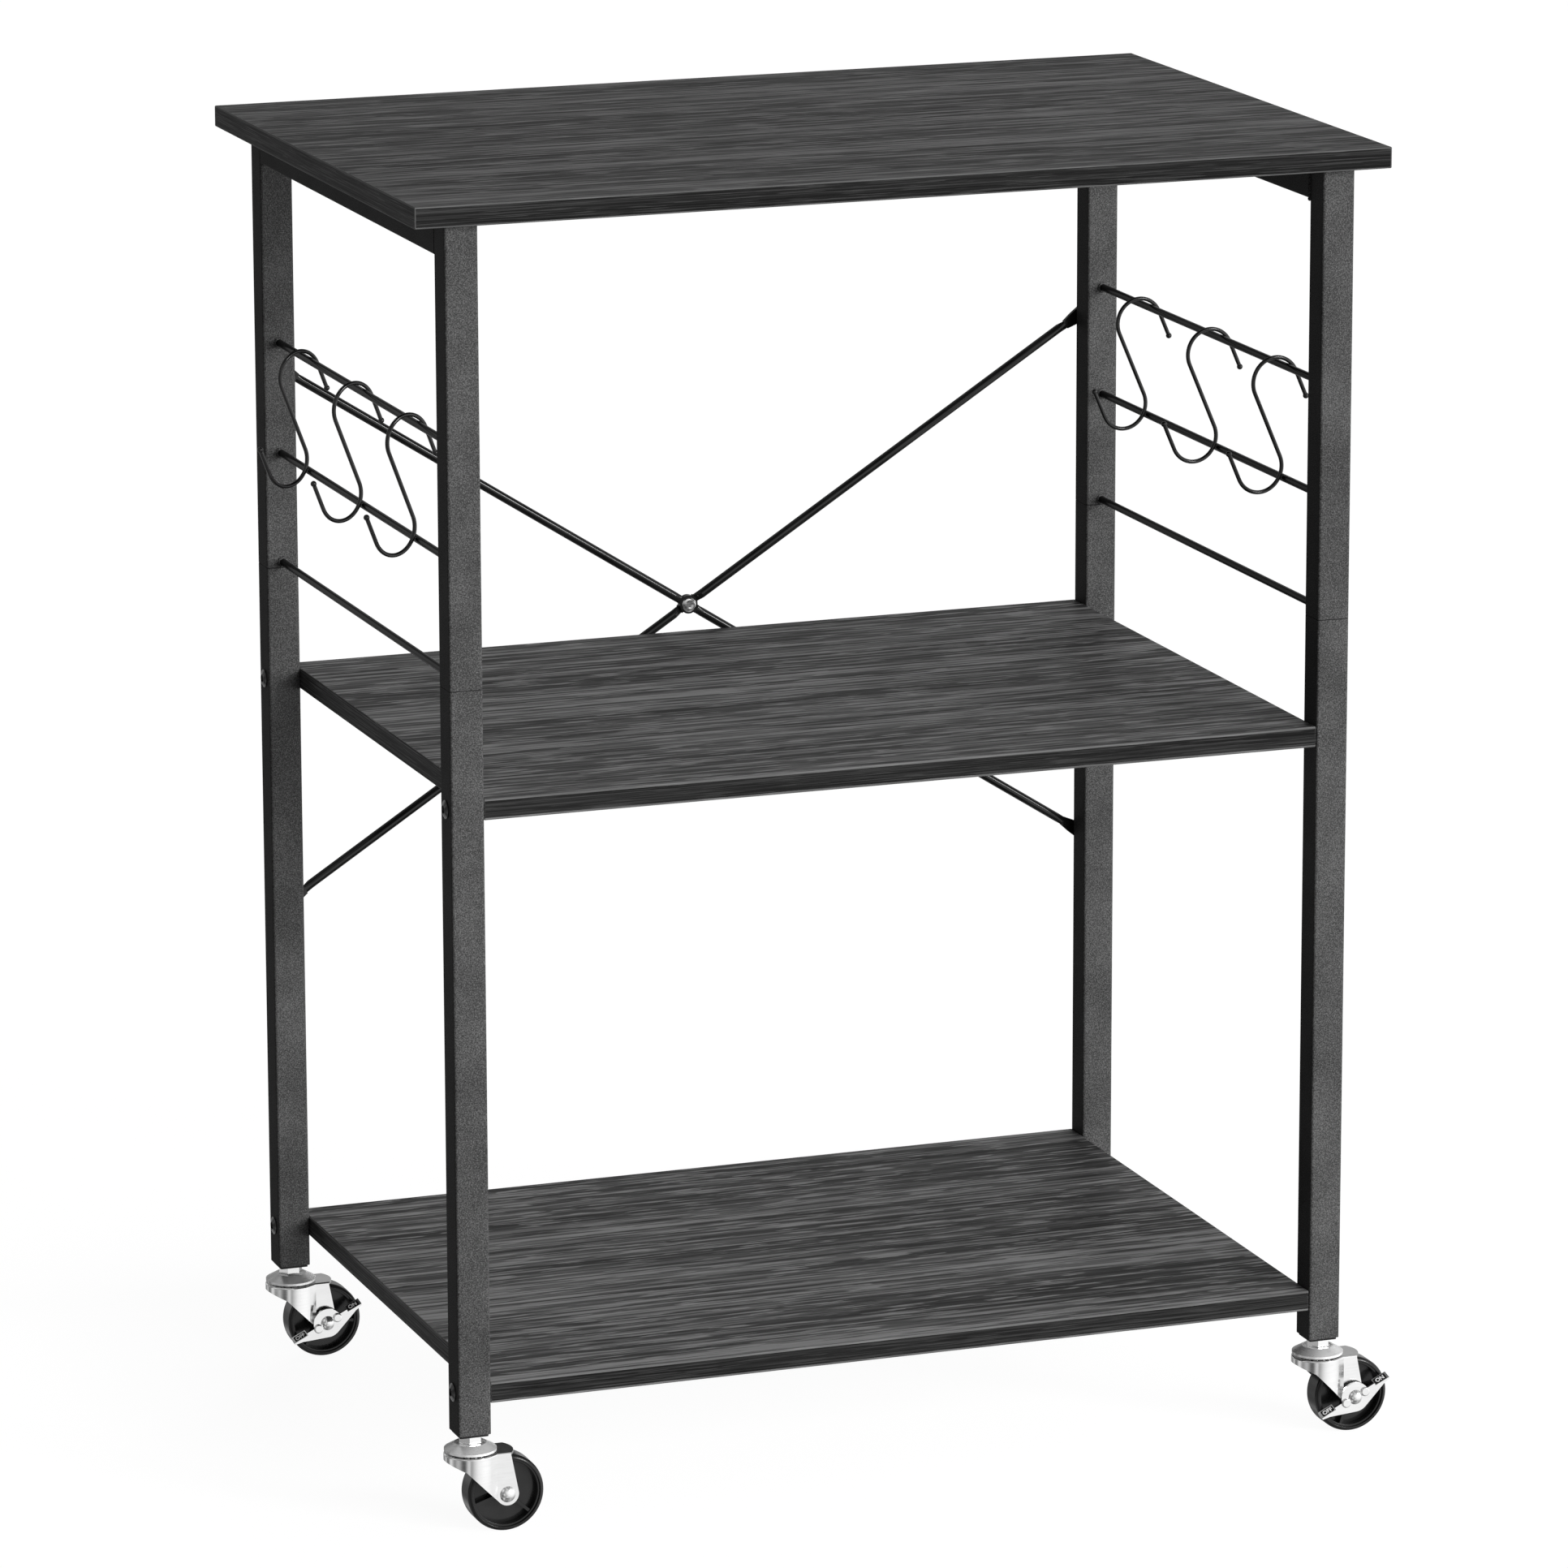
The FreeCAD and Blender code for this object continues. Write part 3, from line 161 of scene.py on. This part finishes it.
class Shape(Tree):  # a Geometry Nodes tree with one named input for each size
    def __init__(self, name, sizes):
        group = bpy.data.node_groups.new(name, "GeometryNodeTree")
        group.interface.new_socket("Points", in_out="INPUT", socket_type="NodeSocketGeometry")
        for key, value in sizes.items():
            kind = "NodeSocketInt" if isinstance(value, int) else "NodeSocketFloat"
            group.interface.new_socket(key, in_out="INPUT", socket_type=kind)
        group.interface.new_socket("Mesh", in_out="OUTPUT", socket_type="NodeSocketGeometry")
        super().__init__(group)
        self.start = group.nodes.new("NodeGroupInput")
        self.end = group.nodes.new("NodeGroupOutput")
        self.sizes = sizes

    def size(self, name):
        return Sock(self, self.start.outputs[name])

    def circle(self, steps, radius):
        sockets = {"Resolution": self.size(steps), "Radius": self.size(radius)}
        return self.add("GeometryNodeCurvePrimitiveCircle", {"mode": "RADIUS"}, sockets)

    def sweep(self, path, section):
        sockets = {"Curve": path, "Profile Curve": section, "Fill Caps": True}
        return self.add("GeometryNodeCurveToMesh", {}, sockets)

    def ball(self, radius, steps):
        sockets = {"Radius": self.size(radius), "Subdivisions": self.size(steps)}
        return self.add("GeometryNodeMeshIcoSphere", {}, sockets)

    def onPoints(self, instance, turn=(0, 0, 0)):
        sockets = {"Points": self.size("Points"), "Instance": instance, "Rotation": turn}
        return self.add("GeometryNodeInstanceOnPoints", {}, sockets)

    def lumps(self, mesh, turns, height):  # pushes a mesh in and out along its normals
        at = self.add("GeometryNodeInputPosition")
        waves = {"Vector": at, "Scale": self.size(turns), "Detail": 1}
        field = self.add("ShaderNodeTexNoise", {}, waves)
        normal = self.add("GeometryNodeInputNormal")
        push = (field - noiseMiddle) * self.size(height)
        offset = self.add("ShaderNodeVectorMath", {"operation": "SCALE"}, {0: normal, "Scale": push})
        return self.add("GeometryNodeSetPosition", {}, {"Geometry": mesh, "Offset": offset})

    def close(self, instances, paint, lump=()):  # real mesh, lumps if any, finish
        mesh = self.add("GeometryNodeRealizeInstances", {}, [instances])
        if lump:
            mesh = self.lumps(mesh, *lump)
        smooth = self.add("GeometryNodeSetShadeSmooth", {}, [mesh])
        finish = {0: smooth, "Material": paint.material}
        self.feed(self.end.inputs[0], self.add("GeometryNodeSetMaterial", {}, finish))

    def bake(self, name, points):  # a plain mesh object, with the modifier gone
        thing = newPiece(name, pointMesh(name, points))
        modifier = thing.modifiers.new("shape", "NODES")
        modifier.node_group = self.nodeTree
        for item in self.nodeTree.interface.items_tree:
            if item.name in self.sizes:
                modifier[item.identifier] = self.sizes[item.name]
        solid = thing.evaluated_get(bpy.context.evaluated_depsgraph_get())
        made = bpy.data.meshes.new_from_object(solid)
        thing.modifiers.remove(modifier)
        thing.data = made
        outward(made)
        return thing


def pointMesh(name, points):
    mesh = bpy.data.meshes.new(name)
    mesh.from_pydata(points, [], [])
    return mesh


def outward(mesh):
    work = bmesh.new()
    work.from_mesh(mesh)
    bmesh.ops.recalc_face_normals(work, faces=work.faces)
    work.to_mesh(mesh)
    work.free()


def newPiece(name, data):
    thing = bpy.data.objects.new(name, data)
    bpy.context.scene.collection.objects.link(thing)
    return thing


def attach(piece, body):
    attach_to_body(piece, body)


def dress(node, paint):  # the CAD node keeps its mesh and takes this finish
    slots = nodes[node].data.materials
    slots.clear()
    slots.append(paint.material)


def middle(node):
    low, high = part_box(node)
    return (low + high) / 2


def span(start, end, count):  # evenly spaced points, both ends included
    return [start.lerp(end, step / (count - 1)) for step in range(count)]


# boards

laminate = {
    "wander": 4 * mm,  # how far the grain strays sideways
    "wanderTurns": (2.2, 7, 7),
    "bandTurns": (1.4, 36, 60),  # waves in a metre along, across and through the grain
    "streakTurns": (2.6, 215, 1000),
    "dashTurns": (28, 330, 1300),
    "poreTurns": (14, 440, 1800),
    "shares": (1.2, 1.6),  # of bands and streaks
    "tones": [(0.2, 0.024), (0.4, 0.055), (0.6, 0.13), (0.8, 0.26)],
    "dash": (0.57, 0.3, 0.8),  # where the pale dashes start, their tone and their share
    "pore": (0.56, 0.016, 0.75),
    # the lip: tone of a painted highlight along the arrises
    "lipHighlightTone": 0.09,
    "frontEdgeToneAndShade": 0.105,  # banded edges, darker than the faces: partly the band's own tone, partly painted shade, deepest on the long edges, set for the front ones that face the strongest light
    "endEdgeToneAndShade": 0.42,
    "roughness": 0.52,
    "roughSwing": 0.3,
    "gloss": 0.14,
    "depth": 0.1 * mm,
    "endBand": 0.6 * mm,  # thickness of the band on each end
    "endSoft": 0.4 * mm,
    "layerSoft": 0.05,  # how softly dashes and pores start
    "lipSoft": 0.3 * mm,
    # how much of the lip's painted highlight shows, and how much smoother the arris is
    "lipHighlightShare": 0.75,
    "lipPolish": 0.1,
    "arris": (1.5, 0.6),  # near two faces at once, and how softly
}
boards = {  # width of the lip, where a painted highlight runs along the arris, the part of the grain that the board was cut from, and its painted shade: the one laminate darkened most on the top board, which is lit more from above
    "top_board": {"lip": 0.9 * mm, "cut": (0.3, 0.1, 0), "endLip": 1, "paintedShade": 0.53},
    "middle_shelf": {"lip": 1.4 * mm, "cut": (3.7, 1.9, 0.5), "endLip": 0, "paintedShade": 0.92},
    "bottom_shelf": {"lip": 1.4 * mm, "cut": (8.1, 5.2, 0.9), "endLip": 0, "paintedShade": 1},
}


def laminatePaint(board, lip, cut, endLip, paintedShade):
    look = laminate
    half = (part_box(board)[1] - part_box(board)[0]) / 2
    height = middle(board).z
    paint = Paint(board + "_laminate", **{"Specular IOR Level": look["gloss"]})
    x, y, z = paint.axes()
    onEnd = abs(x).above(half.x - look["endBand"], look["endSoft"])  # end bands run along y
    along = x + onEnd * (y - x)
    across = y + onEnd * (x - y)
    stray = paint.noise(look["wanderTurns"], 1, shift=cut) - noiseMiddle
    grain = paint.add("ShaderNodeCombineXYZ", {}, [along, across + stray * look["wander"], z])
    bands, streaks, dashes, pores = [
        paint.noise(look[layer + "Turns"], 3, grain, cut) for layer in ("band", "streak", "dash", "pore")
    ]
    layers = zip((bands, streaks), look["shares"])
    figure = sum((layer - noiseMiddle) * share for layer, share in layers) + noiseMiddle
    colour = paint.ramp(figure, look["tones"])
    for layer, (start, tone, share) in ((dashes, look["dash"]), (pores, look["pore"])):
        colour = paint.mix(layer.above(start, look["layerSoft"]) * share, colour, grey(tone))
    toFaces = [half.x - abs(x), half.y - abs(y), half.z - abs(z - height)]
    onEdge = toFaces[2].above(lip, look["lipSoft"])
    # edge bands: their own darker tone plus painted shade, deeper on the long edges than on the ends
    # because the long front edges are lit more strongly
    edgeToneAndShade = look["frontEdgeToneAndShade"] + onEnd * (look["endEdgeToneAndShade"] - look["frontEdgeToneAndShade"])
    # painted shade: each board's faces darkened by how strongly that board is lit
    colour = paint.mix(1 - paintedShade + onEdge * (paintedShade - edgeToneAndShade), colour, grey(0))
    # painted highlight: a pale band along the arrises, where a rounded edge would catch the light
    weights = (endLip, 1, 1)
    near = sum(gap.below(lip, look["lipSoft"]) * weight for gap, weight in zip(toFaces, weights))
    arris = near.above(*look["arris"])
    colour = paint.mix(arris * look["lipHighlightShare"], colour, grey(look["lipHighlightTone"]))
    rough = look["roughness"] + (pores - noiseMiddle) * look["roughSwing"] - arris * look["lipPolish"]
    paint.put({"Base Color": colour, "Roughness": rough})
    paint.relief((dashes - pores) * (1 - arris), look["depth"])
    return paint


for board, plan in boards.items():
    dress(board, laminatePaint(board, **plan))
print("boards finished")


# tube frame

powderCoat = {
    "speckTurns": 1400,
    "patchTurns": 28,
    "shares": (0.8, 0.2),  # of specks and patches
    "tones": [(0.3, 0.017), (0.5, 0.054), (0.7, 0.128)],
    "roughness": 0.5,
    "roughSwing": 0.4,
    "gloss": 0.03,
    "depth": 0.06 * mm,
    "seamTone": 0.02,  # the dark line between upper and lower posts
    "seamHalf": 0.25 * mm,
    "seamSoft": 0.2 * mm,
}


def powderPaint():
    look = powderCoat
    paint = Paint("powder_coat", **{"Specular IOR Level": look["gloss"]})
    specks = paint.noise([look["speckTurns"]] * 3, 2)
    patches = paint.noise([look["patchTurns"]] * 3, 2)
    speckShare, patchShare = look["shares"]
    colour = paint.ramp(specks * speckShare + patches * patchShare, look["tones"])
    height = paint.axes()[2]
    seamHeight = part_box("front_left_upper_post")[0].z
    seam = abs(height - seamHeight).below(look["seamHalf"], look["seamSoft"])
    paint.put({
        "Base Color": paint.mix(seam, colour, grey(look["seamTone"])),
        "Roughness": look["roughness"] + (specks - noiseMiddle) * look["roughSwing"],
    })
    paint.relief(specks, look["depth"])
    return paint


frameCoat = powderPaint()
for corner in corners:
    for part in ("_upper_post", "_lower_post"):
        dress(corner + part, frameCoat)
for rail in ("left_top_rail", "right_top_rail"):
    dress(rail, frameCoat)
print("tube frame finished")


# rods, brace and hooks

enamel = {
    "flowTurns": 55,
    "speckTurns": 900,
    "tones": [(0.35, 0.004), (0.65, 0.009)],
    "roughSwing": 0.1,
    "depth": 0.003 * mm,
}


def enamelPaint(name, roughness, gloss):
    look = enamel
    paint = Paint(name, **{"Specular IOR Level": gloss})
    flow = paint.noise([look["flowTurns"]] * 3, 3)
    specks = paint.noise([look["speckTurns"]] * 3, 1)
    paint.put({
        "Base Color": paint.ramp(flow, look["tones"]),
        "Roughness": roughness + (flow - noiseMiddle) * look["roughSwing"],
    })
    paint.relief(specks, look["depth"])
    return paint


rodEnamel = enamelPaint("rod_enamel", roughness=0.2, gloss=0.06)
braceEnamel = enamelPaint("brace_enamel", roughness=0.12, gloss=0.4)
hookEnamel = enamelPaint("hook_enamel", roughness=0.12, gloss=0.5)
rods = ("left_side_rods", "right_side_rods")
for rod in rods:
    dress(rod, rodEnamel)
for brace in ("falling_brace", "rising_brace"):
    dress(brace, braceEnamel)
for side in ("left", "right"):
    for place in ("rear", "middle", "front"):
        dress(side + "_" + place + "_hook", hookEnamel)


# welds: a bead round each rod's end, and a row of beads where a rail meets its posts

rodWeld = {
    "ringRadius": 2.55 * mm,
    "beadRadius": 0.95 * mm,
    "around": 28,
    "section": 10,
    "lumpTurns": 700.0,
    "lumpHeight": 0.7 * mm,
}
railWeld = {
    "beadRadius": 1.25 * mm,
    "beadSteps": 2,
    "lumpTurns": 800.0,
    "lumpHeight": 0.6 * mm,
}
railBeads = 11  # beads in a row


def makeRodWelds():
    shape = Shape("rod_weld", rodWeld)
    bead = shape.sweep(shape.circle("around", "ringRadius"), shape.circle("section", "beadRadius"))
    shape.close(shape.onPoints(bead, (math.pi / 2, 0, 0)), frameCoat, ("lumpTurns", "lumpHeight"))
    ends = []
    for rod in rods:
        low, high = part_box(rod)
        x = middle(rod).x
        radius = high.x - x
        heights = span(Vector((x, 0, low.z + radius)), Vector((x, 0, high.z - radius)), 3)
        ends += [point + Vector((0, y, 0)) for point in heights for y in (low.y, high.y)]
    attach(shape.bake("rod_welds", ends), "frame")


def makeRailWelds():
    shape = Shape("rail_weld", railWeld)
    bead = shape.ball("beadRadius", "beadSteps")
    shape.close(shape.onPoints(bead), frameCoat, ("lumpTurns", "lumpHeight"))
    points = []
    for rail in ("left_top_rail", "right_top_rail"):
        low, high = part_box(rail)
        inner, outer = sorted((low.x, high.x), key=abs)
        for y in (low.y, high.y):
            points += span(Vector((outer, y, low.z)), Vector((inner, y, low.z)), railBeads)[1:]
            points += span(Vector((inner, y, low.z)), Vector((inner, y, high.z)), railBeads)[1:-1]
    attach(shape.bake("rail_welds", points), "frame")


makeRodWelds()
makeRailWelds()
print("rods, hooks and welds finished")


# fasteners

steel = {
    "evenTurns": (420, 420, 420),
    "drawnTurns": (90, 90, 900),  # fine lines round a plated piece
    "cloudTurns": 70,
    "shares": (0.5, 0.5),  # of drag lines and clouds
    "roughSwings": (0.12, 0.08),
    "coatRoughness": 0.1,
    "depth": 0.006 * mm,
}


def steelPaint(name, tones, roughness, turns="evenTurns", metallic=1.0, coat=0.0):
    look = steel
    coating = {"Coat Weight": coat, "Coat Roughness": look["coatRoughness"]}
    paint = Paint(name, Metallic=metallic, **coating)
    drag = paint.noise(look[turns], 3)
    cloud = paint.noise([look["cloudTurns"]] * 3, 2)
    dragShare, cloudShare = look["shares"]
    dragSwing, cloudSwing = look["roughSwings"]
    paint.put({
        "Base Color": paint.ramp(drag * dragShare + cloud * cloudShare, tones),
        "Roughness": roughness + (drag - noiseMiddle) * dragSwing + (cloud - noiseMiddle) * cloudSwing,
    })
    paint.relief(drag, look["depth"])
    return paint


blackOxide = steelPaint("black_oxide", [(0.35, 0.02), (0.65, 0.045)], 0.3, metallic=0.7, coat=0.6)
plainSteel = steelPaint("plain_steel", [(0.35, 0.42), (0.65, 0.58)], 0.36)
brightPlate = steelPaint("bright_plate", [(0.35, 0.9), (0.65, 0.97)], 0.15, "drawnTurns")
satinPlate = steelPaint("satin_plate", [(0.35, 0.86), (0.65, 0.95)], 0.28, "drawnTurns", metallic=0.6)
for node in ("shelf_bolts", "brace_end_screws"):
    dress(node, blackOxide)
for node in ("post_couplers", "shelf_inserts", "top_board_screws"):
    dress(node, plainSteel)
for node in ("brace_bolt", "brace_nut"):
    dress(node, brightPlate)

boltThread = {
    "turns": 2.0,
    "steps": 32,
    "coreRadius": 2.42 * mm,
    "length": 1.2 * mm,
    "ridgeRadius": 0.2 * mm,
    "ridgeSteps": 6,
}
threadInset = 0.25 * mm  # from the bolt's end to the thread


def makeBoltThread():
    shape = Shape("bolt_thread", boltThread)
    turn = {
        "Resolution": shape.size("steps"),
        "Rotations": shape.size("turns"),
        "Start Radius": shape.size("coreRadius"),
        "End Radius": shape.size("coreRadius"),
        "Height": shape.size("length"),
    }
    helix = shape.add("GeometryNodeCurveSpiral", {}, turn)
    ridge = shape.sweep(helix, shape.circle("ridgeSteps", "ridgeRadius"))
    shape.close(shape.onPoints(ridge, (math.pi / 2, 0, 0)), brightPlate)
    tail = middle("brace_nut")
    tail.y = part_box("brace_bolt")[1].y - threadInset
    attach(shape.bake("brace_bolt_thread", [tail]), "frame")


makeBoltThread()
print("fasteners finished")


# casters

moulded = {
    "grainTurns": 2400,
    "cloudTurns": 60,
    "tones": [(0.35, 0.005), (0.65, 0.01)],
    "roughSwing": 0.2,
    "coatRoughness": 0.12,
    "depth": 0.012 * mm,
}


def plasticPaint(name, roughness, coat, gloss):
    look = moulded
    coating = {"Coat Weight": coat, "Coat Roughness": look["coatRoughness"]}
    paint = Paint(name, **coating, **{"Specular IOR Level": gloss})
    grain = paint.noise([look["grainTurns"]] * 3, 1)
    cloud = paint.noise([look["cloudTurns"]] * 3, 3)
    paint.put({
        "Base Color": paint.ramp(cloud, look["tones"]),
        "Roughness": roughness + (cloud - noiseMiddle) * look["roughSwing"],
    })
    paint.relief(grain, look["depth"])
    return paint


wheelPlastic = plasticPaint("wheel_plastic", roughness=0.2, coat=0.2, gloss=0.3)
plugPlastic = plasticPaint("plug_plastic", roughness=0.45, coat=0.0, gloss=0.2)
dress("caster_plugs", plugPlastic)
for corner in corners:
    dress(corner + "_wheel", wheelPlastic)
    dress(corner + "_raceway", satinPlate)
    for part in ("_stem", "_fork", "_axle"):
        dress(corner + part, brightPlate)
    if corner in braked:
        dress(corner + "_brake_lever", brightPlate)

ballSlack = 1.03  # room between neighbouring balls of a swivel


def makeSwivelBalls(corner):
    ring = corner + "_ball_race"
    low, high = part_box(ring)
    radius = (high.z - low.z) / 2
    pitch = (high.x - low.x) / 2 - radius
    count = int(math.pi / math.asin(radius * ballSlack / pitch))
    turns = [math.tau * step / count for step in range(count)]
    points = [middle(ring) + Vector((math.cos(turn), math.sin(turn), 0)) * pitch for turn in turns]
    shape = Shape("swivel_ball", {"ballRadius": radius, "ballSteps": 3})
    shape.close(shape.onPoints(shape.ball("ballRadius", "ballSteps")), plainSteel)
    balls = shape.bake(corner + "_swivel_balls", points)
    attach(balls, corner + "_swivel")
    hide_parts(ring)


brakeLabel = {
    "leverTurn": -26,  # degrees about y, at rest
    "tabSlope": 32,
    "tabMiddle": (19.1 * mm, -12.03 * mm, 0.975 * mm),  # from the axle, along the lever
    "patch": (8.2 * mm, 4.0 * mm, 0.16 * mm),
    "patchRound": 0.7 * mm,
    "cornerSteps": 4,
    "mergeWithin": 0.001 * mm,
    "letterHeight": 2.8 * mm,
    "letterBold": 0.03,  # as a share of the text's own size, like its depth
    "letterDepth": 0.02,
    "letterProud": 0.05 * mm,
    "words": {-1: "OFF", 1: "ON"},  # by the lever's left and right end
}


labelInk = {
    "cloudTurns": 800,
    "tones": [(0.35, 0.74), (0.65, 0.86)],
    "roughness": 0.35,
    "roughSwing": 0.2,
}


def inkPaint(name):
    look = labelInk
    paint = Paint(name)
    cloud = paint.noise([look["cloudTurns"]] * 3, 2)
    paint.put({
        "Base Color": paint.ramp(cloud, look["tones"]),
        "Roughness": look["roughness"] + cloud * look["roughSwing"],
    })
    return paint


labelWhite = inkPaint("label_white")


def tabFrame(corner, end):  # x along the tab, y up its slope, z out of its face
    plan = brakeLabel
    x, y, z = plan["tabMiddle"]
    axle = Matrix.Translation(middle(corner + "_wheel"))
    lever = axle @ Matrix.Rotation(math.radians(plan["leverTurn"]), 4, "Y")
    tab = Matrix.Translation((x * end, y, z)) @ Matrix.Rotation(math.radians(plan["tabSlope"]), 4, "X")
    return lever @ tab


def patchMesh(work, matrix):  # a thin plate with rounded corners
    length, height, thick = brakeLabel["patch"]
    radius = brakeLabel["patchRound"]
    steps = brakeLabel["cornerSteps"]
    outline = []
    for quarter, (sx, sy) in enumerate(((1, 1), (-1, 1), (-1, -1), (1, -1))):
        for step in range(steps + 1):
            turn = math.radians(90 * (quarter + step / steps))
            x = (length / 2 - radius) * sx + radius * math.cos(turn)
            y = (height / 2 - radius) * sy + radius * math.sin(turn)
            outline.append(work.verts.new(matrix @ Vector((x, y, -thick / 2))))
    base = work.faces.new(outline)
    raised = bmesh.ops.extrude_face_region(work, geom=[base])["geom"]
    lift = matrix.to_3x3() @ Vector((0, 0, thick))
    upper = [item for item in raised if isinstance(item, bmesh.types.BMVert)]
    bmesh.ops.translate(work, verts=upper, vec=lift)


def wordMesh(word):  # letters of the wanted height about the origin, standing proud of z = 0
    plan = brakeLabel
    text = bpy.data.curves.new("word", "FONT")
    text.body = word
    text.extrude = plan["letterDepth"]
    text.offset = plan["letterBold"]
    carrier = newPiece("word", text)
    solid = carrier.evaluated_get(bpy.context.evaluated_depsgraph_get())
    mesh = bpy.data.meshes.new_from_object(solid)
    bpy.data.objects.remove(carrier)
    xs, ys, zs = zip(*(vert.co for vert in mesh.vertices))
    scale = plan["letterHeight"] / (max(ys) - min(ys))
    shift = Vector((-(max(xs) + min(xs)) / 2, -(max(ys) + min(ys)) / 2, -max(zs)))
    mesh.transform(Matrix.Diagonal((scale, scale, scale, 1)) @ Matrix.Translation(shift))
    return mesh


def makeBrakeLabels(corner):
    plan = brakeLabel
    patches = bmesh.new()
    letters = bmesh.new()
    for end, word in plan["words"].items():
        matrix = tabFrame(corner, end)
        patchMesh(patches, matrix)
        mesh = wordMesh(word)
        top = plan["patch"][2] / 2 + plan["letterProud"]
        mesh.transform(matrix @ Matrix.Translation((0, 0, top)))
        letters.from_mesh(mesh)
    for name, work, paint, slot in (
        ("_brake_labels", patches, plugPlastic, "plug_black"),
        ("_brake_letters", letters, labelWhite, "bright_steel"),
    ):
        bmesh.ops.remove_doubles(work, verts=work.verts, dist=plan["mergeWithin"])
        bmesh.ops.recalc_face_normals(work, faces=work.faces)
        mesh = bpy.data.meshes.new(corner + name)
        work.to_mesh(mesh)
        work.free()
        mesh.materials.clear()
        mesh.materials.append(paint.material)
        attach(newPiece(corner + name, mesh), corner + "_brake")


for corner in corners:
    makeSwivelBalls(corner)
for corner in braked:
    makeBrakeLabels(corner)
print("casters finished")


# camera, floor and light

photoCamera = {
    "place": (-1.6726, -4.5669, 1.5551),
    "yaw": 20.036,  # degrees to the right of straight ahead
    "pitch": 13.51,  # degrees down
    "roll": -0.155,
    "lens": 189.3,
    "sensor": 36,
}
floorPaper = {
    "side": 80,
    "tone": 0.12,
    "mottle": 0.02,
    "mottleTurns": 3,
    "roughness": 0.9,
    "glow": 0.94,  # lifts the shadows
}
lamps = {  # where each comes from, its power, how wide it is in degrees, and whether gloss shows it
    "key": {"aim": (0.42, -0.88, 0.16), "power": 3.5, "spread": 40, "shows": False},
    "kicker": {"aim": (0.6, -0.73, 0.33), "power": 0.8, "spread": 14, "shows": True},
    "rim": {"aim": (0.55, 0.82, 0.12), "power": 1.5, "spread": 30, "shows": False},
}
dome = {
    "fill": 0.07,
    "cards": [(0.3, 0.08), (0.5, 0.3), (0.7, 0.75)],  # pale and dark cards all round, seen only in gloss
    "cardTurns": 2.6,
    "ceiling": [(0.58, 1), (0.85, 0.2)],  # light falls off overhead
    "backdrop": 1.0,
    "lobes": (  # toward, power, and the tone from the side away from it to its middle
        ((0.72, -0.58, 0.38), 1.2, [(0.45, 0), (0.62, 0.15), (0.8, 0.67), (1, 1)]),
        ((0.34, 0.91, 0.23), 0.25, [(0.8, 0), (0.95, 1)]),
    ),
}


def turned(yaw, pitch, roll):
    turns = ((-yaw, "Z"), (90 - pitch, "X"), (roll, "Z"))
    matrix = Matrix.Identity(4)
    for angle, axis in turns:
        matrix = matrix @ Matrix.Rotation(math.radians(angle), 4, axis)
    return matrix


def makeCamera(plan):
    data = bpy.data.cameras.new("photo_camera")
    data.lens = plan["lens"]
    data.sensor_width = plan["sensor"]
    camera = newPiece("photo_camera", data)
    facing = turned(plan["yaw"], plan["pitch"], plan["roll"])
    camera.matrix_world = Matrix.Translation(plan["place"]) @ facing
    bpy.context.scene.camera = camera


def makeFloor(plan):
    half = plan["side"] / 2
    mesh = bpy.data.meshes.new("floor")
    outline = [(-half, -half, 0), (half, -half, 0), (half, half, 0), (-half, half, 0)]
    mesh.from_pydata(outline, [], [(0, 1, 2, 3)])
    glow = {"Emission Color": grey(1), "Emission Strength": plan["glow"]}
    paint = Paint("floor_paper", Roughness=plan["roughness"], **{"Specular IOR Level": 0}, **glow)
    mottle = [(0, plan["tone"]), (1, plan["tone"] + plan["mottle"])]
    paint.put({"Base Color": paint.ramp(paint.noise([plan["mottleTurns"]] * 3), mottle)})
    mesh.materials.append(paint.material)
    floor = newPiece("floor", mesh)
    floor.visible_glossy = False  # black flags hide the floor from the cart
    floor.visible_diffuse = False
    floor.visible_shadow = False


def makeLamp(name, plan):
    data = bpy.data.lights.new(name, "SUN")
    data.energy = plan["power"]
    data.angle = math.radians(plan["spread"])
    lamp = newPiece(name, data)
    lamp.rotation_euler = (-Vector(plan["aim"])).to_track_quat("-Z", "Y").to_euler()
    lamp.visible_glossy = plan["shows"]


def makeDome(plan):
    world = bpy.data.worlds.new("studio")
    world.use_nodes = True
    bpy.context.scene.world = world
    sky = Tree(world.node_tree)
    toward = sky.add("ShaderNodeTexCoord", out="Generated")
    light = 0
    for aim, power, stops in plan["lobes"]:
        sides = [toward, Vector(aim).normalized()]
        facing = sky.add("ShaderNodeVectorMath", {"operation": "DOT_PRODUCT"}, sides, "Value")
        light = light + sky.ramp(facing * 0.5 + 0.5, stops) * power
    height = sky.add("ShaderNodeSeparateXYZ", {}, [toward], 2)
    light = plan["fill"] + light * sky.ramp(height * 0.5 + 0.5, plan["ceiling"])
    gloss = sky.add("ShaderNodeLightPath", out="Is Glossy Ray")
    waves = {"Vector": toward, "Scale": plan["cardTurns"], "Detail": 1}
    clouds = sky.add("ShaderNodeTexNoise", {}, waves)
    light = light.atLeast(gloss * sky.ramp(clouds, plan["cards"]))
    seen = sky.add("ShaderNodeLightPath", out="Is Camera Ray")
    shown = sky.add("ShaderNodeMix", {"data_type": "FLOAT"}, {0: seen, 2: light, 3: plan["backdrop"]})
    sky.feed(world.node_tree.nodes["Background"].inputs["Color"], shown)
    bpy.context.scene.view_settings.view_transform = "Standard"


makeCamera(photoCamera)
makeFloor(floorPaper)
for name, plan in lamps.items():
    makeLamp(name, plan)
makeDome(dome)
print("camera, floor and light set")
